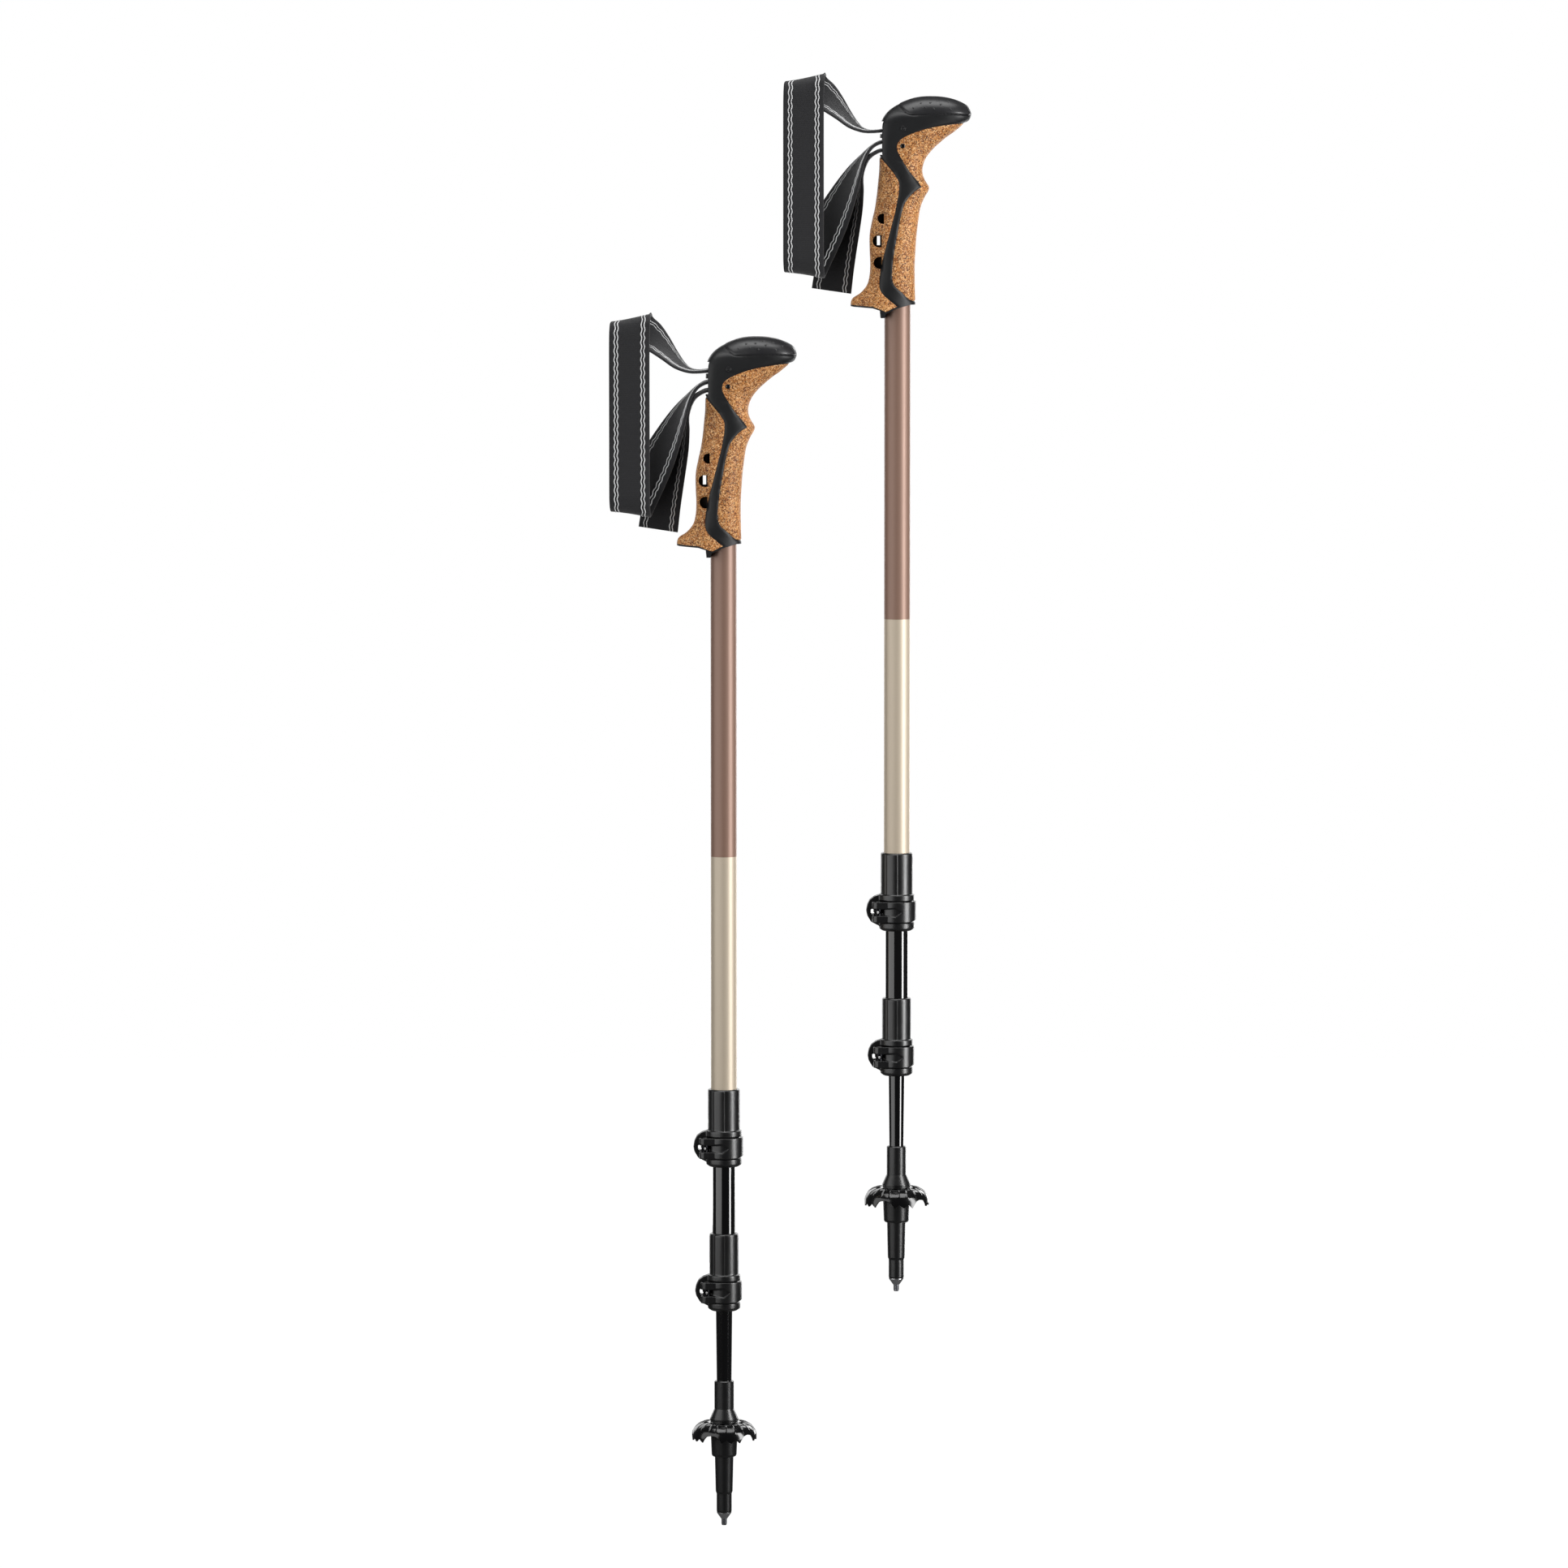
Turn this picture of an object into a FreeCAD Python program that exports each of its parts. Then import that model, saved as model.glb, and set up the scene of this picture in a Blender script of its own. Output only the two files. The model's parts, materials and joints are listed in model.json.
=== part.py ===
"""Pair of three-section trekking poles with cork grips, wrist straps and lever clamps.

Millimetres, +Z up.  The origin is the point of the left pole's tip.  Each pole is drawn
about its own shaft axis with its own point at z = 0, then moved to its place.
"""
import FreeCAD, Part

import math
import os

Vector = FreeCAD.Vector

# ---- the pair ------------------------------------------------------------------------
POLE_PLACES = {"left": (0.0, 0.0, 0.0), "right": (120.0, 0.0, 165.0)}

# ---- tubes: outer radius, bore radius, lowest and highest point as stowed ------------
UPPER_R, UPPER_BORE_R = 9.0, 8.1
MIDDLE_R, MIDDLE_BORE_R = 8.0, 7.1
LOWER_R, LOWER_BORE_R = 7.0, 6.3
UPPER_Z = (280.0, 786.0)
MIDDLE_Z = (178.0, 580.0)
LOWER_Z = (46.0, 480.0)
LOWER_TAPER_Z = 270.0           # the lower tube tapers below this height
LOWER_TOE_R, LOWER_TOE_BORE_R = 4.55, 3.85
RUNNING_GAP = 0.05              # radial, between a tube and what slides on it

# ---- tip, measured up from the point -------------------------------------------------
CARBIDE_R, CARBIDE_TOP, CARBIDE_STEM_TOP = 1.95, 4.8, 14.0
FERRULE_TOP, FERRULE_R0, FERRULE_R1 = 9.3, 2.35, 5.05
TIP_BODY_TOP, TIP_BODY_R = 48.7, 6.45
CAP_SEAT_R, CAP_SEAT_Z = 5.25, (10.3, 22.3)   # straight seat for a rubber tip cap
THREAD_R = 7.6                                # basket screws onto this length
FLARE_Z, FLARE_R = (74.5, 82.4), 9.85
TIP_COLLAR_TOP, TIP_COLLAR_R = 102.1, 6.75
FLUTES, FLUTE_R = 8, 0.55
SPIGOT_R, SPIGOT_TOP, SPIGOT_BORE_R = 3.2, 16.0, 1.2   # ferrule's root inside the plastic tip

# ---- basket --------------------------------------------------------------------------
HUB_Z, HUB_R = (48.7, 70.6), (8.7, 9.55)
BASKET_R, BASKET_INNER_R = 22.8, 21.2
BASKET_TOP, BASKET_RIM = 72.6, 65.2
BASKET_LOBES, TEETH_PER_LOBE, TOOTH_STEP, TOOTH_DROP = 5, 3, 17.0, 4.4
FIRST_LOBE = -77.0                  # direction of one lobe's middle, degrees from +X
ARCH_W, ARCH_CROWN = 9.6, 0.4       # arch between lobes: width, and how far its crown is under the rim
HUB_WINDOW = ((10.3, 14.2), 1.5)    # radii of the slot beside the hub, half width
STOP_RING = (73.1, 74.1, 9.6)       # ring under the flare that the basket turns up to

# ---- clamps: height of the lower edge, sleeve radius, tube held, tube clamped ---------
CLAMPS = {
    "upper": {"z": 252.8, "sleeve_r": 11.25, "held_r": UPPER_R, "clamped_r": MIDDLE_R,
              "held_z": UPPER_Z[0]},
    "lower": {"z": 151.6, "sleeve_r": 10.15, "held_r": MIDDLE_R, "clamped_r": LOWER_R,
              "held_z": MIDDLE_Z[0]},
}
CLAMP_H = 54.3
CHAMFER_H = 1.7
FLANGE_LOW, FLANGE_HIGH = (1.7, 5.9), (20.9, 25.2)
LEVER_Z = (6.15, 20.65)
FLANGE_STEP, LEVER_STEP, JAW_STEP = 1.15, 2.25, -0.6   # radii beyond the sleeve's
KNUCKLE_R, CAM_OFFSET = 4.1, 0.4
EAR_GAP = 1.6                                          # width of the split
BARREL_R, SCREW_R, SCREW_BORE_R, SCREW_HEAD_R = 2.4, 1.6, 0.93, 3.1
SCREW_SLOT_H, LEVER_SLOT_H = 3.6, 4.6
SPLIT_H, SPLIT_END_R = 31.6, 1.5    # height of the split and radius of its upper end
EAR_REACH = 10.0                    # of the ears beyond the sleeve
CAM_CLEARANCE, WASHER_T, SCREW_HEAD_T = 0.15, 0.85, 3.2
LEVER_SPAN, LEVER_GAP = 376.0, 0.45 # angle where the lever ends, and its clearance from the sleeve
BARREL_END_GAP = 0.3
HEAD_FLUTES, HEAD_FLUTE_R = 12, 0.45

# ---- grip ----------------------------------------------------------------------------
STRAP_W, STRAP_T = 28.0, 2.2
STRAP_PIN = (3.5, 807.5, 1.7)       # x, z, radius
GUIDE_PIN = (3.2, 795.6, 1.8)
GRIP_SLEEVE_R = 11.0
GRIP_HALF = 30.0                    # half width of the cutting prisms
GRIP_SLEEVE_Z = (684.0, 789.0)
OVAL_POINTS = 12
CHAMBER_CLEARANCE = 0.5             # beside the webbing
UPPER_MOUTH = ((-20.0, 9.0), (801.0, 812.4))
LOWER_MOUTH = ((-20.0, 8.2), (789.4, 801.5))
MOUTH_BAR = ((-10.6, -5.4), (801.0, 803.6))
FIN_OUTLINE = [(-10.5, 709.5), (-17.2, 709.5), (-17.9, 725.0), (-17.9, 736.0), (-14.8, 743.0), (-14.4, 751.0),
               (-10.5, 751.0)]
FIN_HALF, FIN_HOLE = 2.0, ((-14.2, -12.0), (727.4, 733.8))
STRAP_PIN_HALF, GUIDE_PIN_HALF = 15.2, 14.9
WEDGE_OUTLINE = [(-9.0, 794.2), (0.8, 794.15), (0.8, 797.05), (-9.0, 795.4)]
WEDGE_HALF = 13.0
PIN_GAP = 0.1                       # between a pin and the webbing round it
RUN_END_X = -6.6                    # where the straight runs in the chamber meet the loop and the tail

# height, rear x, front x, half width of the handle's oval sections
HANDLE_SECTIONS = [
    (676.0, -31.0, 12.4, 13.0),
    (688.0, -32.4, 12.4, 13.8),
    (693.0, -27.5, 12.2, 14.3),
    (698.0, -22.3, 12.0, 14.8),
    (706.0, -19.4, 11.9, 15.2),
    (720.0, -19.1, 12.2, 15.5),
    (735.0, -19.2, 13.2, 15.6),
    (750.0, -16.3, 15.2, 15.4),
    (760.0, -14.7, 18.4, 15.2),
    (767.4, -13.8, 21.4, 15.0),
    (777.0, -12.8, 17.4, 15.0),
    (787.0, -12.4, 19.4, 15.4),
    (795.0, -12.2, 26.0, 15.8),
    (803.0, -11.6, 35.5, 15.2),
]
# x, bottom z, top z, half width of the head's oval sections
HEAD_SECTIONS = [
    (-11.4, 800.0, 810.0, 9.0),
    (-8.0, 792.0, 817.8, 14.6),
    (-3.0, 790.0, 822.3, 15.9),
    (5.0, 790.0, 826.2, 16.6),
    (14.0, 790.0, 828.8, 17.2),
    (24.0, 794.0, 829.4, 17.2),
    (33.0, 801.0, 828.8, 16.0),
    (41.0, 806.5, 826.8, 13.4),
    (46.8, 811.0, 823.6, 9.6),
    (50.2, 814.6, 819.7, 4.6),
]
# outline of the cork in front of the black band, from the beak down to the collar
FRONT_CORK_EDGE = [(60.0, 811.5), (45.5, 810.9), (33.2, 809.8), (20.3, 807.5), (8.7, 803.6), (1.6, 799.7),
                   (-0.6, 795.8), (0.3, 790.7), (7.4, 779.0), (13.8, 771.3), (16.4, 767.4),
                   (10.0, 762.9), (4.1, 754.5), (0.3, 737.7), (-3.0, 718.4), (-3.4, 702.5),
                   (3.5, 694.5), (8.7, 689.9), (14.0, 688.8)]
# outline of the cork behind the band, from the strap down to the heel
REAR_CORK_EDGE = [(-14.5, 790.5), (-12.4, 788.1), (-6.8, 781.6), (-1.7, 775.2), (0.9, 768.7), (-1.0, 754.5),
                  (-5.5, 736.4), (-10.7, 715.8), (-12.6, 702.0), (-10.7, 694.5), (-0.4, 685.4)]
HEEL_LINE = [(-0.4, 685.4), (-8.1, 681.8), (-17.2, 685.4), (-30.7, 686.4), (-40.0, 688.0)]
REAR_OUTLINE = REAR_CORK_EDGE + HEEL_LINE[1:] + [(-40.0, 790.5)]
COLLAR_TOP = [(-40.0, 688.0), (-30.7, 686.4), (-17.2, 685.4), (-8.1, 681.8), (-0.4, 685.4), (8.7, 689.9),
              (14.0, 688.8)]
COLLAR_BOTTOM = [(14.0, 686.6), (8.7, 686.6), (-0.4, 684.0), (-8.1, 680.4), (-8.9, 677.5), (-11.7, 677.5),
                 (-12.2, 682.6), (-17.2, 684.2), (-30.7, 685.2), (-40.0, 686.8)]
PAD_EDGE = [(1.6, 835.0), (1.6, 822.3), (6.1, 818.4), (10.6, 817.0), (33.2, 817.5), (60.0, 816.2),
            (60.0, 835.0)]
CORK_WINDOWS = [((-13.9, -9.4), (742.2, 749.3)), ((-17.2, -11.0), (726.1, 734.5)),
                ((-16.5, -11.0), (711.2, 719.6))]

# Wrist strap: middle of the webbing, then the direction of its width.  It runs from the
# strap pin out of the head, over the top, down the front, back up to the guide pin,
# round it, and out again as the free tail.
LOOP_STATIONS = [
    ((3.5, 0, 810.4), (0, 1, 0)),
    ((-3.0, 0, 808.0), (0, 1, 0)),
    ((-9.0, 0, 806.4), (0, 1, 0)),
    ((-17.0, 0, 805.5), (0, 1, 0)),
    ((-24.0, 0, 806.4), (0.05, 0.99, 0.05)),
    ((-31.0, 0.6, 810.4), (0.20, 0.96, 0.12)),
    ((-38.0, 1.8, 817.4), (0.34, 0.92, 0.20)),
    ((-45.0, 3.4, 824.6), (0.52, 0.80, 0.30)),
    ((-52.0, 5.4, 830.6), (0.74, 0.56, 0.36)),
    ((-57.6, 7.0, 834.0), (0.90, 0.26, 0.34)),
    ((-61.0, 6.8, 837.2), (0.965, 0.06, 0.25)),
    ((-62.6, 4.4, 840.2), (0.975, 0, 0.22)),
    ((-63.4, 0.0, 841.3), (0.977, 0, 0.21)),
    ((-64.0, -4.4, 840.0), (0.98, 0, 0.19)),
    ((-64.5, -7.2, 835.5), (0.985, 0, 0.17)),
    ((-64.8, -8.0, 822.0), (1, 0, 0)),
    ((-64.8, -8.0, 770.0), (1, 0, 0)),
    ((-64.8, -8.0, 726.0), (1, 0, 0)),
    ((-64.7, -7.2, 715.5), (0.99, 0, -0.10)),
    ((-64.3, -4.4, 709.6), (0.99, 0, -0.14)),
    ((-63.8, -0.5, 708.0), (0.99, 0, -0.16)),
    ((-62.8, 3.0, 710.0), (0.98, -0.05, -0.20)),
    ((-60.5, 4.6, 715.5), (0.95, -0.14, -0.28)),
    ((-54.0, 5.0, 728.0), (0.87, -0.33, -0.38)),
    ((-46.0, 4.4, 743.5), (0.76, -0.52, -0.38)),
    ((-38.0, 3.0, 760.0), (0.58, -0.74, -0.32)),
    ((-30.5, 1.5, 775.5), (0.35, -0.92, -0.19)),
    ((-24.0, 0.5, 787.0), (0.12, -0.99, -0.05)),
    ((-18.0, 0, 794.5), (0, -1, 0)),
    ((-12.0, 0, 798.0), (0, -1, 0)),
    ((-6.0, 0, 798.6), (0, -1, 0)),
]
TAIL_STATIONS = [
    ((-6.0, 0, 792.6), (0, -1, 0)),
    ((-12.5, 0, 792.2), (0, -1, 0)),
    ((-19.2, 0.9, 788.0), (0.02, -1, 0)),
    ((-24.2, 3.2, 780.2), (0.12, -0.99, -0.05)),
    ((-28.2, 7.2, 769.4), (0.38, -0.92, -0.12)),
    ((-33.2, 11.2, 753.6), (0.66, -0.74, -0.14)),
    ((-38.4, 13.8, 735.0), (0.84, -0.52, -0.14)),
    ((-42.6, 14.6, 715.0), (0.93, -0.33, -0.16)),
    ((-45.4, 14.8, 695.5), (0.96, -0.18, -0.20)),
]


# ---- small makers --------------------------------------------------------------------
def rod(r, z0, z1, x=0.0, y=0.0):
    return Part.makeCylinder(r, z1 - z0, Vector(x, y, z0))


def cone(r0, r1, z0, z1):
    return Part.makeCone(r0, r1, z1 - z0, Vector(0, 0, z0))


def pipe(r_out, r_in, z0, z1):
    return rod(r_out, z0, z1).cut(rod(r_in, z0 - 1, z1 + 1))


def rod_y(r, x, z, y0, y1):
    return Part.makeCylinder(r, y1 - y0, Vector(x, y0, z), Vector(0, 1, 0))


def block(x0, x1, y0, y1, z0, z1):
    return Part.makeBox(x1 - x0, y1 - y0, z1 - z0, Vector(x0, y0, z0))


def prism(points, half=GRIP_HALF):
    """Extrude a closed outline of (x, z) points from -half to +half along Y."""
    corners = [Vector(x, -half, z) for x, z in points]
    wire = Part.makePolygon(corners + [corners[0]])
    return Part.Face(wire).extrude(Vector(0, 2 * half, 0))


def revolve(points):
    """Turn a closed outline of (r, z) points about the shaft axis."""
    corners = [Vector(r, 0, z) for r, z in points]
    face = Part.Face(Part.makePolygon(corners + [corners[0]]))
    return face.revolve(Vector(0, 0, 0), Vector(0, 0, 1), 360)


def union(first, *others):
    shape = first
    for other in others:
        shape = shape.fuse(other)
    return shape.removeSplitter()


# ---- tubes ---------------------------------------------------------------------------
def upper_tube():
    return pipe(UPPER_R, UPPER_BORE_R, *UPPER_Z)


def middle_tube():
    return pipe(MIDDLE_R, MIDDLE_BORE_R, *MIDDLE_Z)


def lower_tube():
    bottom, top = LOWER_Z
    outline = [(LOWER_TOE_BORE_R, bottom), (LOWER_TOE_R, bottom), (LOWER_R, LOWER_TAPER_Z), (LOWER_R, top),
               (LOWER_BORE_R, top), (LOWER_BORE_R, LOWER_TAPER_Z)]
    return revolve(outline)


def tube_bush(bore_r, around_r, top):
    """Plug in a tube's top end, with a lip that runs in the bore of the tube outside it."""
    stem = rod(bore_r, top - 14, top)
    lip = rod(around_r - RUNNING_GAP, top, top + 5)
    return union(stem, lip).cut(rod(bore_r - 1.6, top - 15, top + 6))


def tube_plug():
    """Closes the upper tube under the strap chamber."""
    top = UPPER_Z[1]
    return rod(UPPER_BORE_R, top - 12, top)


# ---- tip and basket ------------------------------------------------------------------
def carbide_tip():
    body = union(cone(CARBIDE_R - 0.35, CARBIDE_R, 0, 1.2), rod(CARBIDE_R, 1.2, CARBIDE_TOP))
    for k in range(FLUTES):
        angle = 2 * math.pi * k / FLUTES
        x, y = CARBIDE_R * math.cos(angle), CARBIDE_R * math.sin(angle)
        body = body.cut(rod(FLUTE_R, -1, CARBIDE_TOP - 1, x, y))
    body = body.cut(cone(1.2, 0.01, -0.01, 0.9))
    return union(body, rod(CARBIDE_R - 0.4, CARBIDE_TOP - 0.5, CARBIDE_STEM_TOP))


def tip_ferrule():
    shell = union(cone(FERRULE_R0, FERRULE_R1, CARBIDE_TOP, FERRULE_TOP - 0.6),
                  rod(FERRULE_R1, FERRULE_TOP - 0.6, FERRULE_TOP), rod(SPIGOT_R, FERRULE_TOP, SPIGOT_TOP))
    return shell.cut(rod(CARBIDE_R - 0.4, 0, CARBIDE_STEM_TOP)).cut(rod(SPIGOT_BORE_R, 0, SPIGOT_TOP + 1))


def tip_sleeve():
    seat0, seat1 = CAP_SEAT_Z
    outline = [(0, FERRULE_TOP), (FERRULE_R1, FERRULE_TOP), (CAP_SEAT_R, seat0), (CAP_SEAT_R, seat1),
               (5.9, 24.0), (TIP_BODY_R, TIP_BODY_TOP), (THREAD_R, TIP_BODY_TOP), (THREAD_R, FLARE_Z[0]),
               (FLARE_R, FLARE_Z[0]), (FLARE_R, FLARE_Z[0] + 1.0), (TIP_COLLAR_R, FLARE_Z[1]),
               (TIP_COLLAR_R, TIP_COLLAR_TOP - 0.6), (TIP_COLLAR_R - 0.6, TIP_COLLAR_TOP), (0, TIP_COLLAR_TOP)]
    body = revolve(outline).fuse(rod(STOP_RING[2], STOP_RING[0], STOP_RING[1]))
    share = (TIP_COLLAR_TOP - LOWER_Z[0]) / (LOWER_TAPER_Z - LOWER_Z[0])
    socket_r = LOWER_TOE_R + (LOWER_R - LOWER_TOE_R) * share
    body = body.cut(cone(LOWER_TOE_R, socket_r, LOWER_Z[0], TIP_COLLAR_TOP))
    return body.cut(rod(SPIGOT_R, 0, SPIGOT_TOP)).cut(rod(CARBIDE_R - 0.4, 0, CARBIDE_STEM_TOP))


def basket_hub():
    z0, z1 = HUB_Z
    r0, r1 = HUB_R
    outline = [(THREAD_R + RUNNING_GAP, z0), (r0 - 0.7, z0), (r0, z0 + 1.2), (r1, z1),
               (THREAD_R + RUNNING_GAP, z1)]
    return revolve(outline)


def basket_disc():
    """Domed skirt in five lobes, each with three points, joined to a ring round the hub."""
    hole_r = THREAD_R + RUNNING_GAP
    dome = revolve([(hole_r, HUB_Z[1] + 0.1), (12.0, HUB_Z[1] + 0.1), (18.0, 68.0),
                    (BASKET_INNER_R, BASKET_RIM - 4.0), (BASKET_INNER_R, BASKET_RIM - 8.0),
                    (BASKET_R, BASKET_RIM - 8.0), (BASKET_R, BASKET_RIM),
                    (20.8, 69.6), (17.0, 71.8), (12.5, BASKET_TOP), (hole_r, BASKET_TOP)])
    lobe_step = 360.0 / BASKET_LOBES
    for lobe in range(BASKET_LOBES):
        middle = lobe * lobe_step + FIRST_LOBE
        for k in range(TEETH_PER_LOBE + 1):
            turn = middle + (k - TEETH_PER_LOBE / 2) * TOOTH_STEP
            dome = dome.cut(rim_notch(turn, 0.5 * TOOTH_STEP, BASKET_RIM - 4.4 - TOOTH_DROP, TOOTH_DROP))
        dome = dome.cut(rim_arch(middle + lobe_step / 2))
        for side in (-1, 1):
            dome = dome.cut(hub_window(middle + side * lobe_step / 4))
    return dome


def turned(shape, degrees):
    shape.rotate(Vector(0, 0, 0), Vector(0, 0, 1), degrees)
    return shape


def rim_notch(turn, half_angle, bottom, height):
    """A V between two points of the rim, cut from below."""
    half = BASKET_R * math.sin(math.radians(half_angle))
    low = bottom - 0.1
    corners = [Vector(10, -half, low), Vector(10, half, low), Vector(10, 0, bottom + height)]
    face = Part.Face(Part.makePolygon(corners + [corners[0]]))
    return turned(face.extrude(Vector(20, 0, 0)), turn)


def rim_arch(turn):
    """The shallow arch between two lobes."""
    r, crown = ARCH_W / 2, BASKET_RIM - ARCH_CROWN
    round_top = Part.makeCylinder(r, BASKET_R, Vector(10, 0, crown + 0.8 - r), Vector(1, 0, 0))
    return turned(block(10, 10 + BASKET_R, -r, r, HUB_Z[0], crown - r / 2).fuse(round_top), turn)


def hub_window(turn):
    """A slot through the skirt beside the hub."""
    (r0, r1), half = HUB_WINDOW
    return turned(block(r0, r1, -half, half, HUB_Z[0], FLARE_Z[1]), turn)


# ---- lever clamps --------------------------------------------------------------------
def clamp_pivot(spec):
    """Plan position of the barrel that the lever turns on."""
    return -(spec["sleeve_r"] + 1.85), -(0.36 * spec["sleeve_r"] + 4.25)


def ear_face(spec):
    """Distance of the ears' outer faces from the middle of the split."""
    return -(clamp_pivot(spec)[1] + KNUCKLE_R + CAM_OFFSET + CAM_CLEARANCE)


def clamp_mid(spec):
    return spec["z"] + sum(LEVER_Z) / 2


def clamp_collar(spec):
    z, sleeve_r = spec["z"], spec["sleeve_r"]
    flange_r, jaw_r = sleeve_r + FLANGE_STEP, sleeve_r + JAW_STEP
    body = union(cone(flange_r - 2.4, flange_r, z, z + CHAMFER_H),
                 rod(flange_r, z + FLANGE_LOW[0], z + FLANGE_LOW[1]),
                 rod(jaw_r, z + FLANGE_LOW[1] - 0.5, z + FLANGE_HIGH[0] + 0.5),
                 rod(flange_r, z + FLANGE_HIGH[0], z + FLANGE_HIGH[1]),
                 rod(sleeve_r, z + FLANGE_HIGH[1], z + CLAMP_H - 0.8),
                 cone(sleeve_r, sleeve_r - 0.6, z + CLAMP_H - 0.8, z + CLAMP_H))
    body = union(body, clamp_ears(spec), sleeve_facet(spec))
    reach = -sleeve_r - EAR_REACH - 2
    body = body.cut(rod(spec["clamped_r"] + RUNNING_GAP, z - 1, spec["held_z"]))
    body = body.cut(rod(spec["held_r"], spec["held_z"], z + CLAMP_H + 1))
    body = body.cut(block(reach, 0, -EAR_GAP / 2, EAR_GAP / 2, z - 1, z + SPLIT_H))
    split_end = Part.makeCylinder(SPLIT_END_R, sleeve_r, Vector(-sleeve_r - 4, 0, z + SPLIT_H), Vector(1, 0, 0))
    body = body.cut(split_end)
    return body.cut(screw_slot(spec, SCREW_SLOT_H))


def clamp_ears(spec):
    z, reach = spec["z"], spec["sleeve_r"] + EAR_REACH
    side = ear_face(spec)
    outline = [(-5.0, z + 2.0), (-reach + 11.6, z + 2.0), (-reach + 8.6, z + 3.6), (-reach + 3.4, z + 6.2),
               (-reach + 0.7, z + 10.7), (-reach, z + 14.2), (-reach + 0.7, z + 18.2), (-reach + 2.4, z + 21.6),
               (-reach + 5.6, z + 24.0), (-reach + 10.4, z + 25.6), (-5.0, z + 25.6)]
    return prism(outline, side)


def sleeve_facet(spec):
    """Raised flat band with a sharp edge down the front of the sleeve."""
    z, r = spec["z"], spec["sleeve_r"]
    flat = block(-0.62 * r, 0.02 * r, -r - 0.35, 0, z + FLANGE_HIGH[1], z + CLAMP_H - 0.8)
    return flat.common(rod(r + 0.35, z, z + CLAMP_H))


def screw_slot(spec, height):
    """Clearance through the ears for the screw, longer towards the outside."""
    px = clamp_pivot(spec)[0]
    mid = clamp_mid(spec)
    inner = px + SCREW_R + 0.15
    outer = px - 4.9
    round_end = rod_y(height / 2, inner - height / 2, mid, -20, 20)
    return block(outer, inner - height / 2, -20, 20, mid - height / 2, mid + height / 2).fuse(round_end)


def clamp_lever(spec):
    z0, z1 = spec["z"] + LEVER_Z[0], spec["z"] + LEVER_Z[1]
    px, py = clamp_pivot(spec)
    inner, outer = spec["sleeve_r"] + LEVER_GAP, spec["sleeve_r"] + LEVER_STEP
    start = math.degrees(math.atan2(py, px)) % 360 - 4
    arm = Part.makeCylinder(outer, z1 - z0, Vector(0, 0, z0), Vector(0, 0, 1), LEVER_SPAN - start)
    arm = turned(arm, start).cut(rod(inner, z0 - 1, z1 + 1))
    knuckle = rod(KNUCKLE_R, z0, z1, px, py + CAM_OFFSET)
    bridge = block(px, px * 0.45, -outer * 0.97, py + 0.6, z0, z1).common(rod(outer, z0, z1))
    web = prism_z([(px - 1.0, py - KNUCKLE_R + CAM_OFFSET), (px * 0.45, -outer * 0.885), (px * 0.45, py),
                   (px, py)], z0, z1)
    body = union(arm, knuckle, bridge, web).cut(rod(inner, z0 - 1, z1 + 1))
    body = body.cut(rod(BARREL_R + RUNNING_GAP, z0 - 1, z1 + 1, px, py))
    mid = clamp_mid(spec)
    half = LEVER_SLOT_H / 2
    body = body.cut(block(px - 5.7, px + 3.9, py - 8, py + 8, mid - half, mid + half))
    return body.cut(thumb_recess(spec, outer)).cut(tip_lift(spec, outer))


def prism_z(points, z0, z1):
    corners = [Vector(x, y, z0) for x, y in points]
    return Part.Face(Part.makePolygon(corners + [corners[0]])).extrude(Vector(0, 0, z1 - z0))


def thumb_recess(spec, outer):
    """Shallow pointed hollow in the front of the lever, running out of its slot."""
    mid, left = clamp_mid(spec), clamp_pivot(spec)[0] + 3.5
    corners = [(left, mid - 2.3), (left + 8.5, mid - 3.2), (left + 13.0, mid), (left + 8.5, mid + 3.2),
               (left, mid + 2.3)]
    ring = rod(outer + 2, mid - 5, mid + 5).cut(rod(outer - 0.8, mid - 6, mid + 6))
    return prism(corners, outer + 3).common(ring).common(block(-20, 20, -20, 0, mid - 6, mid + 6))


def tip_lift(spec, outer):
    """Bevel under the lever's free end, where a fingertip gets hold of it."""
    z0 = spec["z"] + LEVER_Z[0]
    return prism([(outer - 4.5, z0 - 0.1), (outer + 1, z0 - 0.1), (outer + 1, z0 + 1.9)], outer)


def clamp_barrel(spec):
    px, py = clamp_pivot(spec)
    z0, z1 = spec["z"] + LEVER_Z[0] + BARREL_END_GAP, spec["z"] + LEVER_Z[1] - BARREL_END_GAP
    return rod(BARREL_R, z0, z1, px, py).cut(rod_y(SCREW_R, px, clamp_mid(spec), py - 10, py + 10))


def clamp_screw(spec):
    """Hollow tension screw through the barrel, with a slotted head behind the rear ear."""
    px, py = clamp_pivot(spec)
    mid, face = clamp_mid(spec), ear_face(spec) + WASHER_T + RUNNING_GAP
    shank = rod_y(SCREW_R, px, mid, py - 2.2, face)
    head = rod_y(SCREW_HEAD_R, px, mid, face, face + SCREW_HEAD_T)
    body = union(shank, head).cut(rod_y(SCREW_BORE_R, px, mid, py - 5, face + 5))
    reach = SCREW_HEAD_R + HEAD_FLUTE_R / 2
    for k in range(HEAD_FLUTES):
        angle = 2 * math.pi * k / HEAD_FLUTES
        x, z = px + reach * math.cos(angle), mid + reach * math.sin(angle)
        body = body.cut(rod_y(HEAD_FLUTE_R, x, z, face - 0.5, face + 4))
    return body.cut(block(px - 5, px + 5, face + 2.0, face + 4, mid - 0.5, mid + 0.5))


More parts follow.
